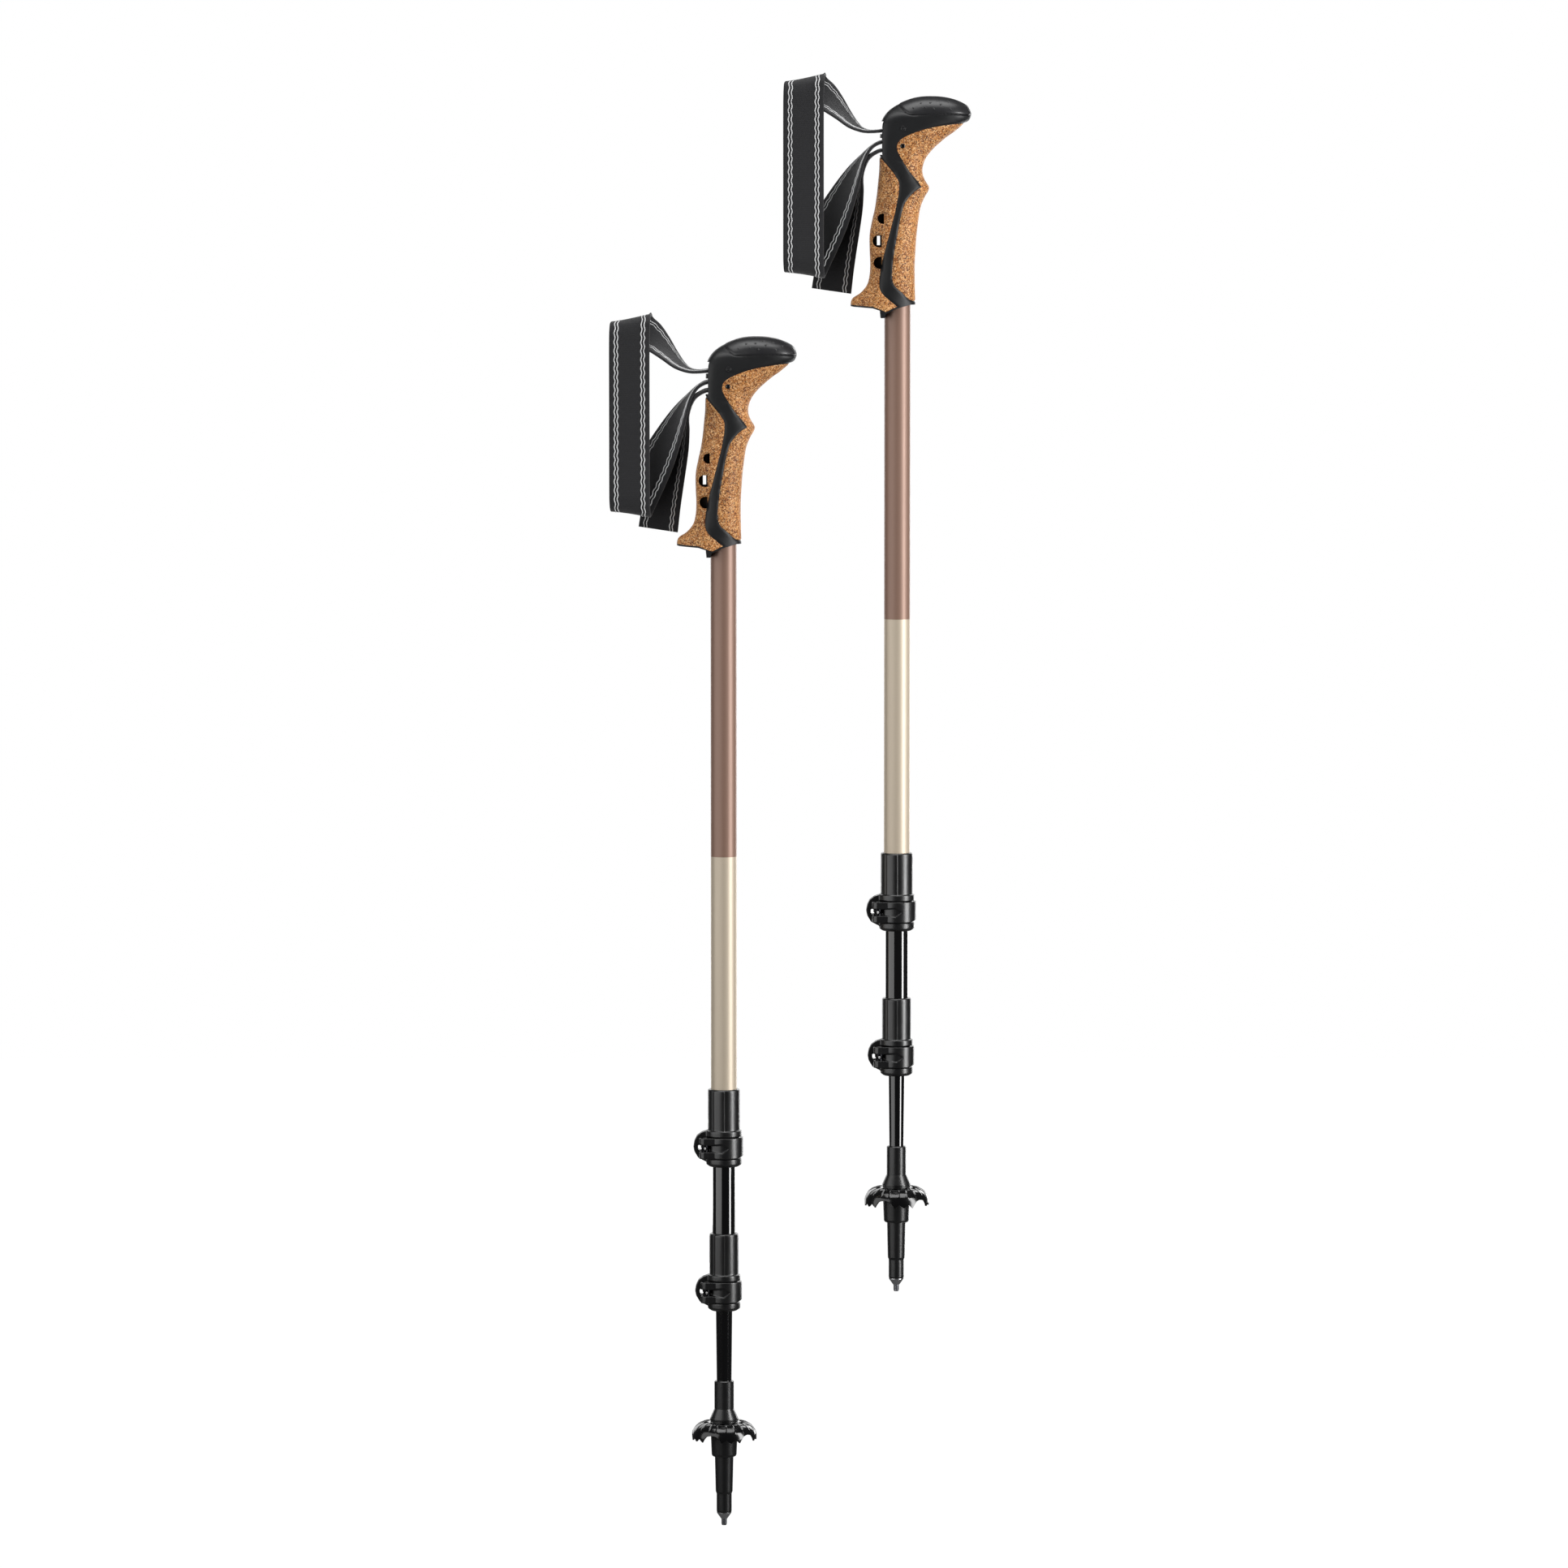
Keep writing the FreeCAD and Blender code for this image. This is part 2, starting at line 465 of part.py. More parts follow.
def clamp_washer(spec):
    px = clamp_pivot(spec)[0]
    mid, face = clamp_mid(spec), ear_face(spec)
    disc = rod_y(SCREW_HEAD_R - 0.2, px, mid, face, face + WASHER_T)
    return disc.cut(rod_y(SCREW_R + 0.1, px, mid, face - 1, face + 2))


# ---- grip ----------------------------------------------------------------------------
def oval_xy(z, x0, x1, half):
    centre = Vector((x0 + x1) / 2, 0, z)
    return oval(centre, Vector(1, 0, 0), (x1 - x0) / 2, Vector(0, 1, 0), half)


def oval_yz(x, z0, z1, half):
    centre = Vector(x, 0, (z0 + z1) / 2)
    return oval(centre, Vector(0, 1, 0), half, Vector(0, 0, 1), (z1 - z0) / 2)


def oval(centre, across, a, along, b):
    """Closed spline through the points of an ellipse, all starting on the same side."""
    points = []
    for k in range(OVAL_POINTS):
        angle = 2 * math.pi * k / OVAL_POINTS
        points.append(centre + across * (a * math.cos(angle)) + along * (b * math.sin(angle)))
    curve = Part.BSplineCurve()
    curve.interpolate(points, PeriodicFlag=True)
    return Part.Wire([curve.toShape()])


def grip_blank():
    """Outer form of the whole grip, before it is divided into its pieces."""
    handle = Part.makeLoft([oval_xy(*section) for section in HANDLE_SECTIONS], True)
    head = Part.makeLoft([oval_yz(*section) for section in HEAD_SECTIONS], True)
    return handle.fuse(head)


def tube_socket():
    return rod(UPPER_R, UPPER_Z[0], UPPER_Z[1])


def strap_chamber():
    """Hollow behind the head that the webbing enters through two mouths."""
    half = STRAP_W / 2 + CHAMBER_CLEARANCE
    upper, lower = [block(x0, x1, -half, half, z0, z1) for (x0, x1), (z0, z1) in (UPPER_MOUTH, LOWER_MOUTH)]
    return upper.fuse(lower)


def chamber_bridge():
    """Bar between the two mouths of the strap chamber."""
    (x0, x1), (z0, z1) = MOUTH_BAR
    return block(x0, x1, -STRAP_W / 2 - 2, STRAP_W / 2 + 2, z0, z1)


def frame_fin():
    """Thin fin of the frame that closes most of the cork's cut-outs."""
    (x0, x1), (z0, z1) = FIN_HOLE
    return prism(FIN_OUTLINE, FIN_HALF).cut(block(x0, x1, -FIN_HALF, FIN_HALF, z0, z1))


def grip_pieces():
    blank = grip_blank()
    sleeve = rod(GRIP_SLEEVE_R, *GRIP_SLEEVE_Z)
    hollow = strap_chamber().fuse(tube_socket())
    front_cork = blank.common(prism(FRONT_CORK_EDGE + [(60.0, 688.8)]))
    rear_cork = blank.common(prism(REAR_OUTLINE))
    pad = blank.common(prism(PAD_EDGE))
    collar = blank.common(prism(COLLAR_TOP + COLLAR_BOTTOM)).cut(tube_socket())
    above = COLLAR_TOP + [(60.0, 688.8), (60.0, 840.0), (-40.0, 840.0)]
    frame = blank.common(prism(above)).cut(front_cork).cut(rear_cork).cut(pad)
    fin = frame_fin()
    sleeve = sleeve.common(prism(above))
    frame = frame.fuse(sleeve).fuse(fin).cut(hollow).fuse(chamber_bridge().common(blank))
    front_cork = front_cork.cut(sleeve).cut(hollow)
    rear_cork = rear_cork.cut(sleeve).cut(fin).cut(hollow)
    for (x0, x1), (z0, z1) in CORK_WINDOWS:
        rear_cork = rear_cork.cut(window(x0, x1, z0, z1))
    for pin in (STRAP_PIN, GUIDE_PIN):
        hole = rod_y(pin[2], pin[0], pin[1], -GRIP_HALF, GRIP_HALF)
        frame, front_cork = frame.cut(hole), front_cork.cut(hole)
    return {"grip_frame": largest(frame), "grip_cork_front": largest(front_cork),
            "grip_cork_rear": largest(rear_cork), "grip_top_pad": largest(pad),
            "grip_collar": largest(collar)}


def window(x0, x1, z0, z1):
    """D-shaped hole with its round side to the rear."""
    r = (z1 - z0) / 2
    half = block(x0 + 0.6 * r, x1, -GRIP_HALF, GRIP_HALF, z0, z1)
    bow = Part.makeCylinder(r, 2 * GRIP_HALF, Vector(x0 + r, -GRIP_HALF, (z0 + z1) / 2), Vector(0, 1, 0))
    return half.fuse(bow.common(block(x0, x1, -GRIP_HALF, GRIP_HALF, z0, z1)))


def largest(shape):
    return max(shape.Solids, key=lambda solid: solid.Volume)


def cross_pin(pin, half):
    x, z, r = pin
    return rod_y(r, x, z, -half, half)


def strap_wedge():
    """Jamming wedge between the two runs of webbing at the guide pin, thin end to the rear."""
    return prism(WEDGE_OUTLINE, WEDGE_HALF)


def webbing_corners(station, path):
    """Corners of the webbing's rectangle across its path."""
    centre, width = Vector(*station[0]), Vector(*station[1])
    along = Vector(path).normalize()
    width = (width - along * width.dot(along)).normalize()
    thick = width.cross(along).normalize()
    corners = []
    for side, face in ((-1, -1), (1, -1), (1, 1), (-1, 1)):
        corners.append(centre + width * (side * STRAP_W / 2) + thick * (face * STRAP_T / 2))
    return corners


def webbing(stations):
    """Flat band through the stations, twisting between them."""
    rows = []
    for k, station in enumerate(stations):
        before = Vector(*stations[max(k - 1, 0)][0])
        after = Vector(*stations[min(k + 1, len(stations) - 1)][0])
        rows.append(webbing_corners(station, after - before))
    faces = [Part.Face(Part.makePolygon(row + [row[0]])) for row in (rows[0], rows[-1])]
    for row, following in zip(rows, rows[1:]):
        for j in range(4):
            a, b, c, d = row[j], row[(j + 1) % 4], following[(j + 1) % 4], following[j]
            faces.append(Part.Face(Part.makePolygon([a, b, c, a])))
            faces.append(Part.Face(Part.makePolygon([a, c, d, a])))
    shell = Part.makeShell(faces)
    shell.sewShape()
    return Part.makeSolid(shell.Shells[0])


def webbing_turn(x, z, r):
    """Webbing bent half round a cross pin, on its front side."""
    half = STRAP_W / 2
    ring = rod_y(r + STRAP_T, x, z, -half, half).cut(rod_y(r, x, z, -half - 1, half + 1))
    return ring.common(block(x, x + 2 * (r + STRAP_T), -half, half, z - 10, z + 10))


def wrist_strap():
    loop = webbing(LOOP_STATIONS)
    tail = webbing(TAIL_STATIONS)
    x, z, r = GUIDE_PIN
    half = STRAP_W / 2
    inside = r + PIN_GAP
    round_pin = webbing_turn(x, z, inside)
    upper_run = block(RUN_END_X, x, -half, half, z + inside, z + inside + STRAP_T)
    lower_run = block(RUN_END_X, x, -half, half, z - inside - STRAP_T, z - inside)
    px, pz, pr = STRAP_PIN
    clear = rod_y(pr + PIN_GAP, px, pz, -STRAP_W, STRAP_W)
    eye = rod_y(pr + PIN_GAP + STRAP_T, px, pz, -half, half).cut(clear)
    return union(loop.cut(clear), tail, round_pin, upper_run, lower_run, eye)


# ---- one pole ------------------------------------------------------------------------
def pole_pieces():
    pieces = grip_pieces()
    pieces["strap_pin"] = cross_pin(STRAP_PIN, STRAP_PIN_HALF)
    pieces["strap_guide_pin"] = cross_pin(GUIDE_PIN, GUIDE_PIN_HALF)
    pieces["strap_wedge"] = strap_wedge()
    pieces["wrist_strap"] = wrist_strap()
    pieces["upper_tube"] = upper_tube()
    pieces["upper_tube_plug"] = tube_plug()
    pieces["middle_tube"] = middle_tube()
    pieces["middle_tube_bush"] = tube_bush(MIDDLE_BORE_R, UPPER_BORE_R, MIDDLE_Z[1])
    pieces["lower_tube"] = lower_tube()
    pieces["lower_tube_bush"] = tube_bush(LOWER_BORE_R, MIDDLE_BORE_R, LOWER_Z[1])
    for level, spec in CLAMPS.items():
        pieces[level + "_clamp_collar"] = clamp_collar(spec)
        pieces[level + "_clamp_lever"] = clamp_lever(spec)
        pieces[level + "_clamp_barrel"] = clamp_barrel(spec)
        pieces[level + "_clamp_screw"] = clamp_screw(spec)
        pieces[level + "_clamp_washer"] = clamp_washer(spec)
    pieces["tip_sleeve"] = tip_sleeve()
    pieces["tip_ferrule"] = tip_ferrule()
    pieces["carbide_tip"] = carbide_tip()
    pieces["basket_hub"] = basket_hub()
    pieces["basket_disc"] = basket_disc()
    return pieces


def main():
    os.makedirs("parts", exist_ok=True)
    pieces = pole_pieces()
    for name, shape in pieces.items():
        if not shape.isValid() or len(shape.Solids) != 1:
            print("check", name, "valid", shape.isValid(), "solids", len(shape.Solids))
    for side, place in POLE_PLACES.items():
        for name, shape in pieces.items():
            placed = shape.copy()
            placed.translate(Vector(*place))
            placed.exportStep("parts/%s_%s.step" % (side, name))
    print(len(pieces) * len(POLE_PLACES), "parts written")


main()
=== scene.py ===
import json
import math

import bmesh
import bpy
import numpy as np
from mathutils import Matrix, Vector
from mathutils.bvhtree import BVHTree

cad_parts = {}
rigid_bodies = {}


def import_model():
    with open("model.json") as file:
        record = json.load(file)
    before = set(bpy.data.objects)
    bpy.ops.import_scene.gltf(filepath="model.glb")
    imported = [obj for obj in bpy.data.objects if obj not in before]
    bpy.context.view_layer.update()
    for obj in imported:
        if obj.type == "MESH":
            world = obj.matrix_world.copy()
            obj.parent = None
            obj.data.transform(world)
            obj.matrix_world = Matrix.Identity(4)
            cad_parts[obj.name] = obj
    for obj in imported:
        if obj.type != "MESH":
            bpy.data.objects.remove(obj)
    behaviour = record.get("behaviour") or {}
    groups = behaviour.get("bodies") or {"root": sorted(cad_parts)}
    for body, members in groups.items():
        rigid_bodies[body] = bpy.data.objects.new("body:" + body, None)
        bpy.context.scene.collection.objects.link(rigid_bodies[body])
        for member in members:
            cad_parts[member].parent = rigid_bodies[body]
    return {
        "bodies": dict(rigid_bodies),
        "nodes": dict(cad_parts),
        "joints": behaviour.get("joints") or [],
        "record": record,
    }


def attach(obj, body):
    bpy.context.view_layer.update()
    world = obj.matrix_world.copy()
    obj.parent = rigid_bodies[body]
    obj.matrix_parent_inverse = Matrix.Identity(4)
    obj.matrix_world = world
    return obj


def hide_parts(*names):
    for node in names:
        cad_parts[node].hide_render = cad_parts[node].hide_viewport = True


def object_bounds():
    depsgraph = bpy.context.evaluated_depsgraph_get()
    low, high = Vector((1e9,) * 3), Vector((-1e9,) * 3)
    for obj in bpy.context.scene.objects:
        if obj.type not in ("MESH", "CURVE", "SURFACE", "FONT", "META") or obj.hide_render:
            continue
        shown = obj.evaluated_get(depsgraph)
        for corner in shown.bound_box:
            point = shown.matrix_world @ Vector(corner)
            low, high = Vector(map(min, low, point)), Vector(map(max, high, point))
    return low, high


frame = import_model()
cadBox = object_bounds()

nodes = frame["nodes"]
mm = 0.001
poleBase = {"left": Vector((0, 0, 0)), "right": Vector((120, 0, 165)) * mm}   # each pole's tip point

# The camera comes first
cameraView = {"target": (0.0418, 0, 0.5197), "distance": 5.5, "elevation": 5.0, "frameWidth": 1.0868,
              "sensor": 36.0}


def linked(name, data):
    item = bpy.data.objects.new(name, data)
    bpy.context.scene.collection.objects.link(item)
    return item


def makeCamera(view):
    tilt = math.radians(view["elevation"])
    camera = linked("camera", bpy.data.cameras.new("camera"))
    reach = Vector((0, -math.cos(tilt), math.sin(tilt))) * view["distance"]
    camera.location = Vector(view["target"]) + reach
    camera.rotation_euler = (math.pi / 2 - tilt, 0, 0)
    camera.data.sensor_width = view["sensor"]
    camera.data.lens = view["sensor"] * view["distance"] / view["frameWidth"]
    camera.data.clip_end = 60
    bpy.context.scene.camera = camera


makeCamera(cameraView)
print("camera set")


# colours are sRGB hex, and one function adds every node
def hexColour(text):
    values = [int(text[i:i + 2], 16) / 255 for i in (1, 3, 5)]
    linear = [v / 12.92 if v <= 0.04045 else ((v + 0.055) / 1.055) ** 2.4 for v in values]
    return (*linear, 1.0)


def addNode(tree, kind, inputs=None, **settings):
    node = tree.nodes.new(kind)
    for key, value in settings.items():
        setattr(node, key, value)
    for key, value in (inputs or {}).items():
        socket = node.inputs[key]
        if isinstance(value, bpy.types.NodeSocket):
            tree.links.new(value, socket)
        else:
            socket.default_value = value
    return node


def setRamp(node, stops):
    ramp = node.color_ramp
    while len(ramp.elements) > 1:
        ramp.elements.remove(ramp.elements[-1])
    ramp.elements[0].position, ramp.elements[0].color = stops[0][0], stops[0][1]
    for position, colour in stops[1:]:
        ramp.elements.new(position).color = colour
    return node.outputs["Color"]


def startMaterial(name, **shaderValues):
    material = bpy.data.materials.new(name)
    material.use_nodes = True
    tree = material.node_tree
    tree.nodes.clear()
    shader = addNode(tree, "ShaderNodeBsdfPrincipled")
    addNode(tree, "ShaderNodeOutputMaterial", {"Surface": shader.outputs["BSDF"]})
    for key, value in shaderValues.items():
        shader.inputs[key.replace("_", " ")].default_value = value
    return material, tree, shader


def linkBump(tree, shader, height, strength, distance):
    bump = addNode(tree, "ShaderNodeBump", {"Height": height, "Strength": strength, "Distance": distance})
    tree.links.new(bump.outputs["Normal"], shader.inputs["Normal"])


def remap(tree, value, low, high):
    node = addNode(tree, "ShaderNodeMapRange", {"Value": value, "To Min": low, "To Max": high})
    return node.outputs["Result"]


def mixColours(tree, factor, first, second, blendType="MIX"):
    # the mix node keeps its colour sockets at fixed places
    node = addNode(tree, "ShaderNodeMix", data_type="RGBA", blend_type=blendType)
    for index, value in ((0, factor), (6, first), (7, second)):
        if isinstance(value, bpy.types.NodeSocket):
            tree.links.new(value, node.inputs[index])
        else:
            node.inputs[index].default_value = value
    return node.outputs[2]


# pale floor and soft lights
room = {"floorSize": 14.0, "floorColour": "#4a4a4a", "worldSeen": 1.0, "worldFelt": 0.07,
        "paperSeen": 1.0, "paperFelt": 0.04,
        "lights": [  # name, azimuth from the camera's side, height, distance, width, height, watts
            ("keyStrip", 64, 0.64, 1.3, 0.40, 1.34, 26),
            ("leftWall", -56, 0.64, 1.3, 1.7, 1.34, 14),
            ("backStrip", 152, 0.64, 1.3, 0.30, 1.34, 7),
            ("backFill", -168, 0.64, 1.6, 1.6, 1.34, 14)],
        "centre": (0.05, 0, 0.5), "topBox": (0, -0.3, 2.2), "topSize": (2.2, 1.6), "topWatts": 52,
        "floorDrop": 0.53}   # the floor lies under the tips of the poles when both slides are drawn out


def makeRoom(values):
    world = bpy.data.worlds.new("room")
    bpy.context.scene.world = world
    world.use_nodes = True
    tree = world.node_tree
    tree.nodes.clear()
    path = addNode(tree, "ShaderNodeLightPath")
    felt, seen = values["worldFelt"], values["worldSeen"]
    colour = mixColours(tree, path.outputs["Is Camera Ray"], (felt, felt, felt, 1), (seen, seen, seen, 1))
    back = addNode(tree, "ShaderNodeBackground", {"Color": colour, "Strength": 1.0})
    addNode(tree, "ShaderNodeOutputWorld", {"Surface": back.outputs["Background"]})

    half = values["floorSize"] / 2
    mesh = bpy.data.meshes.new("floor")
    corners = [(-half, -half, 0), (half, -half, 0), (half, half, 0), (-half, half, 0)]
    mesh.from_pydata(corners, [], [(0, 1, 2, 3)])
    floor = linked("floor", mesh)
    floor.location.z = cadBox[0][2] - values["floorDrop"]
    paper, _, shader = startMaterial("seamlessPaper", Roughness=0.9)
    shader.inputs["Base Color"].default_value = hexColour(values["floorColour"])
    shader.inputs["Emission Color"].default_value = (1, 1, 1, 1)
    tree = paper.node_tree
    seen = addNode(tree, "ShaderNodeLightPath").outputs["Is Camera Ray"]
    glow = remap(tree, seen, values["paperFelt"], values["paperSeen"])
    tree.links.new(glow, shader.inputs["Emission Strength"])
    mesh.materials.append(paper)

    centre = Vector(values["centre"])
    for name, azimuth, height, distance, width, tall, watts in values["lights"]:
        angle = math.radians(azimuth)
        place = centre + Vector((math.sin(angle), -math.cos(angle), 0)) * distance
        place.z = height
        addLight(name, place, centre, width, tall, watts)
    addLight("topBox", centre + Vector(values["topBox"]), centre, *values["topSize"], values["topWatts"])


def addLight(name, place, target, width, tall, watts):
    lamp = bpy.data.lights.new(name, "AREA")
    lamp.shape, lamp.size, lamp.size_y, lamp.energy = "RECTANGLE", width, tall, watts
    light = linked(name, lamp)
    light.location = place
    light.visible_camera = False
    light.rotation_euler = (target - place).to_track_quat("-Z", "Y").to_euler()


makeRoom(room)
bpy.context.scene.view_settings.view_transform = "Standard"
print("room made")


def objectCoords(tree, scale=(1, 1, 1), offset=(0, 0, 0)):
    place = addNode(tree, "ShaderNodeTexCoord").outputs["Object"]
    turned = addNode(tree, "ShaderNodeMapping", {"Vector": place, "Scale": scale, "Location": offset})
    return turned.outputs["Vector"]


# granule sizes in mm, and browns from the deepest pit to the palest fleck
cork = {"grain": 0.8, "fleck": 0.5, "relief": 0.00014, "deep": "#241008", "dark": "#4f2610",
        "rust": "#74401b", "base": "#a36630", "amber": "#b2743a", "tan": "#c49056", "straw": "#dcb07c"}


def corkComposite(values):
    # ground cork bonded with resin and sanded: packed angular granules of many browns, with small pits
    material, tree, shader = startMaterial("corkComposite", Roughness=0.62, Specular_IOR_Level=0.35)
    where = objectCoords(tree)
    wobble = addNode(tree, "ShaderNodeTexNoise", {"Vector": where, "Scale": 900.0, "Detail": 2.0})
    bent = addNode(tree, "ShaderNodeVectorMath", {0: wobble.outputs["Color"], 1: (0.0009, 0.0009, 0.0009)},
                   operation="MULTIPLY")
    moved = addNode(tree, "ShaderNodeVectorMath", {0: where, 1: bent.outputs["Vector"]}).outputs["Vector"]
    grains = addNode(tree, "ShaderNodeTexVoronoi", {"Vector": moved, "Scale": 1000 / values["grain"]})
    tone = addNode(tree, "ShaderNodeSeparateColor", {"Color": grains.outputs["Color"]})
    ramp = addNode(tree, "ShaderNodeValToRGB", {"Fac": tone.outputs["Red"]})
    granules = setRamp(ramp, [(0.0, hexColour(values["dark"])), (0.16, hexColour(values["rust"])),
                              (0.42, hexColour(values["base"])), (0.66, hexColour(values["amber"])),
                              (0.86, hexColour(values["tan"])), (1.0, hexColour(values["straw"]))])
    ramp.color_ramp.interpolation = "LINEAR"
    flecks = addNode(tree, "ShaderNodeTexVoronoi", {"Vector": moved, "Scale": 1000 / values["fleck"]})
    fleckTone = addNode(tree, "ShaderNodeSeparateColor", {"Color": flecks.outputs["Color"]})
    lightFleck = setRamp(addNode(tree, "ShaderNodeValToRGB", {"Fac": fleckTone.outputs["Green"]}),
                         [(0.80, (0, 0, 0, 1)), (0.90, (1, 1, 1, 1))])
    darkFleck = setRamp(addNode(tree, "ShaderNodeValToRGB", {"Fac": fleckTone.outputs["Blue"]}),
                        [(0.84, (0, 0, 0, 1)), (0.93, (1, 1, 1, 1))])
    colour = mixColours(tree, remap(tree, lightFleck, 0.0, 0.8), granules, hexColour(values["straw"]))
    colour = mixColours(tree, remap(tree, darkFleck, 0.0, 0.85), colour, hexColour(values["deep"]))
    patches = addNode(tree, "ShaderNodeTexNoise", {"Vector": where, "Scale": 70.0, "Detail": 3.0})
    shade = remap(tree, patches.outputs["Fac"], 0.72, 1.22)
    colour = mixColours(tree, 1.0, colour, shade, "MULTIPLY")
    tree.links.new(colour, shader.inputs["Base Color"])
    rough = remap(tree, tone.outputs["Green"], 0.5, 0.75)
    tree.links.new(rough, shader.inputs["Roughness"])
    seams = addNode(tree, "ShaderNodeTexVoronoi", {"Vector": moved, "Scale": 1000 / values["grain"]},
                    feature="DISTANCE_TO_EDGE")
    edges = remap(tree, seams.outputs["Distance"], 0.3, 1.0)
    pits = addNode(tree, "ShaderNodeMath", {0: edges, 1: darkFleck}, operation="SUBTRACT")
    linkBump(tree, shader, pits.outputs["Value"], 0.5, values["relief"])
    return material


def mouldedBlack(name, colour, roughness, grainSize, relief, blotch=0.06, **more):
    # moulded polymer: even black, a fine spark-eroded grain and slight wear in its gloss
    material, tree, shader = startMaterial(name, Roughness=roughness, **more)
    shader.inputs["Base Color"].default_value = hexColour(colour)
    where = objectCoords(tree)
    grain = addNode(tree, "ShaderNodeTexNoise", {"Vector": where, "Scale": 1000 / grainSize, "Detail": 3.0,
                                                  "Roughness": 0.6})
    wear = addNode(tree, "ShaderNodeTexNoise", {"Vector": where, "Scale": 120.0, "Detail": 4.0})
    tree.links.new(remap(tree, wear.outputs["Fac"], roughness - blotch, roughness + blotch),
                   shader.inputs["Roughness"])
    linkBump(tree, shader, grain.outputs["Fac"], 0.6, relief)
    return material


def paintedTube(name, roughness, metallic, coat, colours, edges, base):
    # baked lacquer on aluminium tube: faint orange peel, long drawing lines, a clear coat over metal flake
    material, tree, shader = startMaterial(name, Roughness=roughness, Metallic=metallic, Coat_Weight=coat,
                                           Coat_Roughness=0.7 * roughness)
    where = objectCoords(tree, offset=(-base.x, -base.y, -base.z))
    height = addNode(tree, "ShaderNodeSeparateXYZ", {"Vector": where}).outputs["Z"]
    colour = hexColour(colours[0])
    for edge, following in zip(edges, colours[1:]):
        above = addNode(tree, "ShaderNodeMath", {0: height, 1: edge * mm}, operation="GREATER_THAN")
        colour = mixColours(tree, above.outputs["Value"], colour, hexColour(following))
    flake = addNode(tree, "ShaderNodeTexNoise", {"Vector": where, "Scale": 5200.0, "Detail": 1.0})
    tint = remap(tree, flake.outputs["Fac"], 0.86, 1.14)
    tree.links.new(mixColours(tree, 1.0, colour, tint, "MULTIPLY"), shader.inputs["Base Color"])
    lines = objectCoords(tree, scale=(1.0, 1.0, 0.02))
    drawn = addNode(tree, "ShaderNodeTexNoise", {"Vector": lines, "Scale": 1500.0, "Detail": 2.0})
    tree.links.new(remap(tree, drawn.outputs["Fac"], roughness - 0.05, roughness + 0.05),
                   shader.inputs["Roughness"])
    peel = addNode(tree, "ShaderNodeTexNoise", {"Vector": where, "Scale": 350.0, "Detail": 1.0})
    linkBump(tree, shader, peel.outputs["Fac"], 0.12, 0.00002)
    return material


def turnedSteel(name, colour, roughness):
    # turned steel: fine tool rings round the axis give short bright streaks
    material, tree, shader = startMaterial(name, Roughness=roughness, Metallic=1.0)
    rings = addNode(tree, "ShaderNodeTexNoise", {"Vector": objectCoords(tree, scale=(0.05, 0.05, 1)),
                                                  "Scale": 6000.0, "Detail": 2.0})
    shade = remap(tree, rings.outputs["Fac"], 0.75, 1.1)
    tree.links.new(mixColours(tree, 1.0, hexColour(colour), shade, "MULTIPLY"), shader.inputs["Base Color"])
    tree.links.new(remap(tree, rings.outputs["Fac"], roughness - 0.08, roughness + 0.1),
                   shader.inputs["Roughness"])
    linkBump(tree, shader, rings.outputs["Fac"], 0.25, 0.00003)
    return material


# the real rib is about 0.5 mm, drawn coarser so that it shows
# lift is the paler tone painted on the raised crests of the weave: a painted highlight on the ribs
webbingValues = {"ribPitch": 0.9, "threadPitch": 1.3, "colour": "#0e0e10", "lift": "#242427",
                 "relief": 0.00022}


def wovenWebbing(values):
    # woven polyester webbing: narrow ribs across and a herringbone of warp threads, dull with a little sheen;
    # the raised crests of the weave are painted in the paler lift tone, a painted highlight, over a random
    # fibre tone
    material, tree, shader = startMaterial("wovenWebbing", Roughness=0.82, Specular_IOR_Level=0.25,
                                           Sheen_Weight=0.25, Sheen_Roughness=0.5)
    flat = addNode(tree, "ShaderNodeUVMap", uv_map="cloth").outputs["UV"]
    axes = addNode(tree, "ShaderNodeSeparateXYZ", {"Vector": flat})
    warpTurns, ribTurns = (2 * math.pi * 1000 / values[pitch] for pitch in ("threadPitch", "ribPitch"))
    across = addNode(tree, "ShaderNodeMath", {0: axes.outputs["X"], 1: warpTurns}, operation="MULTIPLY")
    along = addNode(tree, "ShaderNodeMath", {0: axes.outputs["Y"], 1: ribTurns}, operation="MULTIPLY")
    warpWave = addNode(tree, "ShaderNodeMath", {0: across.outputs["Value"]}, operation="SINE")
    skew = addNode(tree, "ShaderNodeMath", {0: warpWave.outputs["Value"], 1: 1.4, 2: along.outputs["Value"]},
                   operation="MULTIPLY_ADD")
    ribWave = addNode(tree, "ShaderNodeMath", {0: skew.outputs["Value"]}, operation="SINE")
    weave = addNode(tree, "ShaderNodeMath", {0: ribWave.outputs["Value"], 1: warpWave.outputs["Value"]},
                    operation="MULTIPLY")
    fuzz = addNode(tree, "ShaderNodeTexNoise", {"Vector": flat, "Scale": 2600.0, "Detail": 2.0})
    both = addNode(tree, "ShaderNodeMath", {0: weave.outputs["Value"], 1: 0.35, 2: fuzz.outputs["Fac"]},
                   operation="MULTIPLY_ADD")
    # the colour follows the weave's height, so the crests get the paler lift tone, a painted highlight; the
    # fuzz part is a random fibre tone
    factor = remap(tree, both.outputs["Value"], 0.0, 0.8)
    tree.links.new(mixColours(tree, factor, hexColour(values["colour"]), hexColour(values["lift"])),
                   shader.inputs["Base Color"])
    linkBump(tree, shader, both.outputs["Value"], 0.7, values["relief"])
    return material


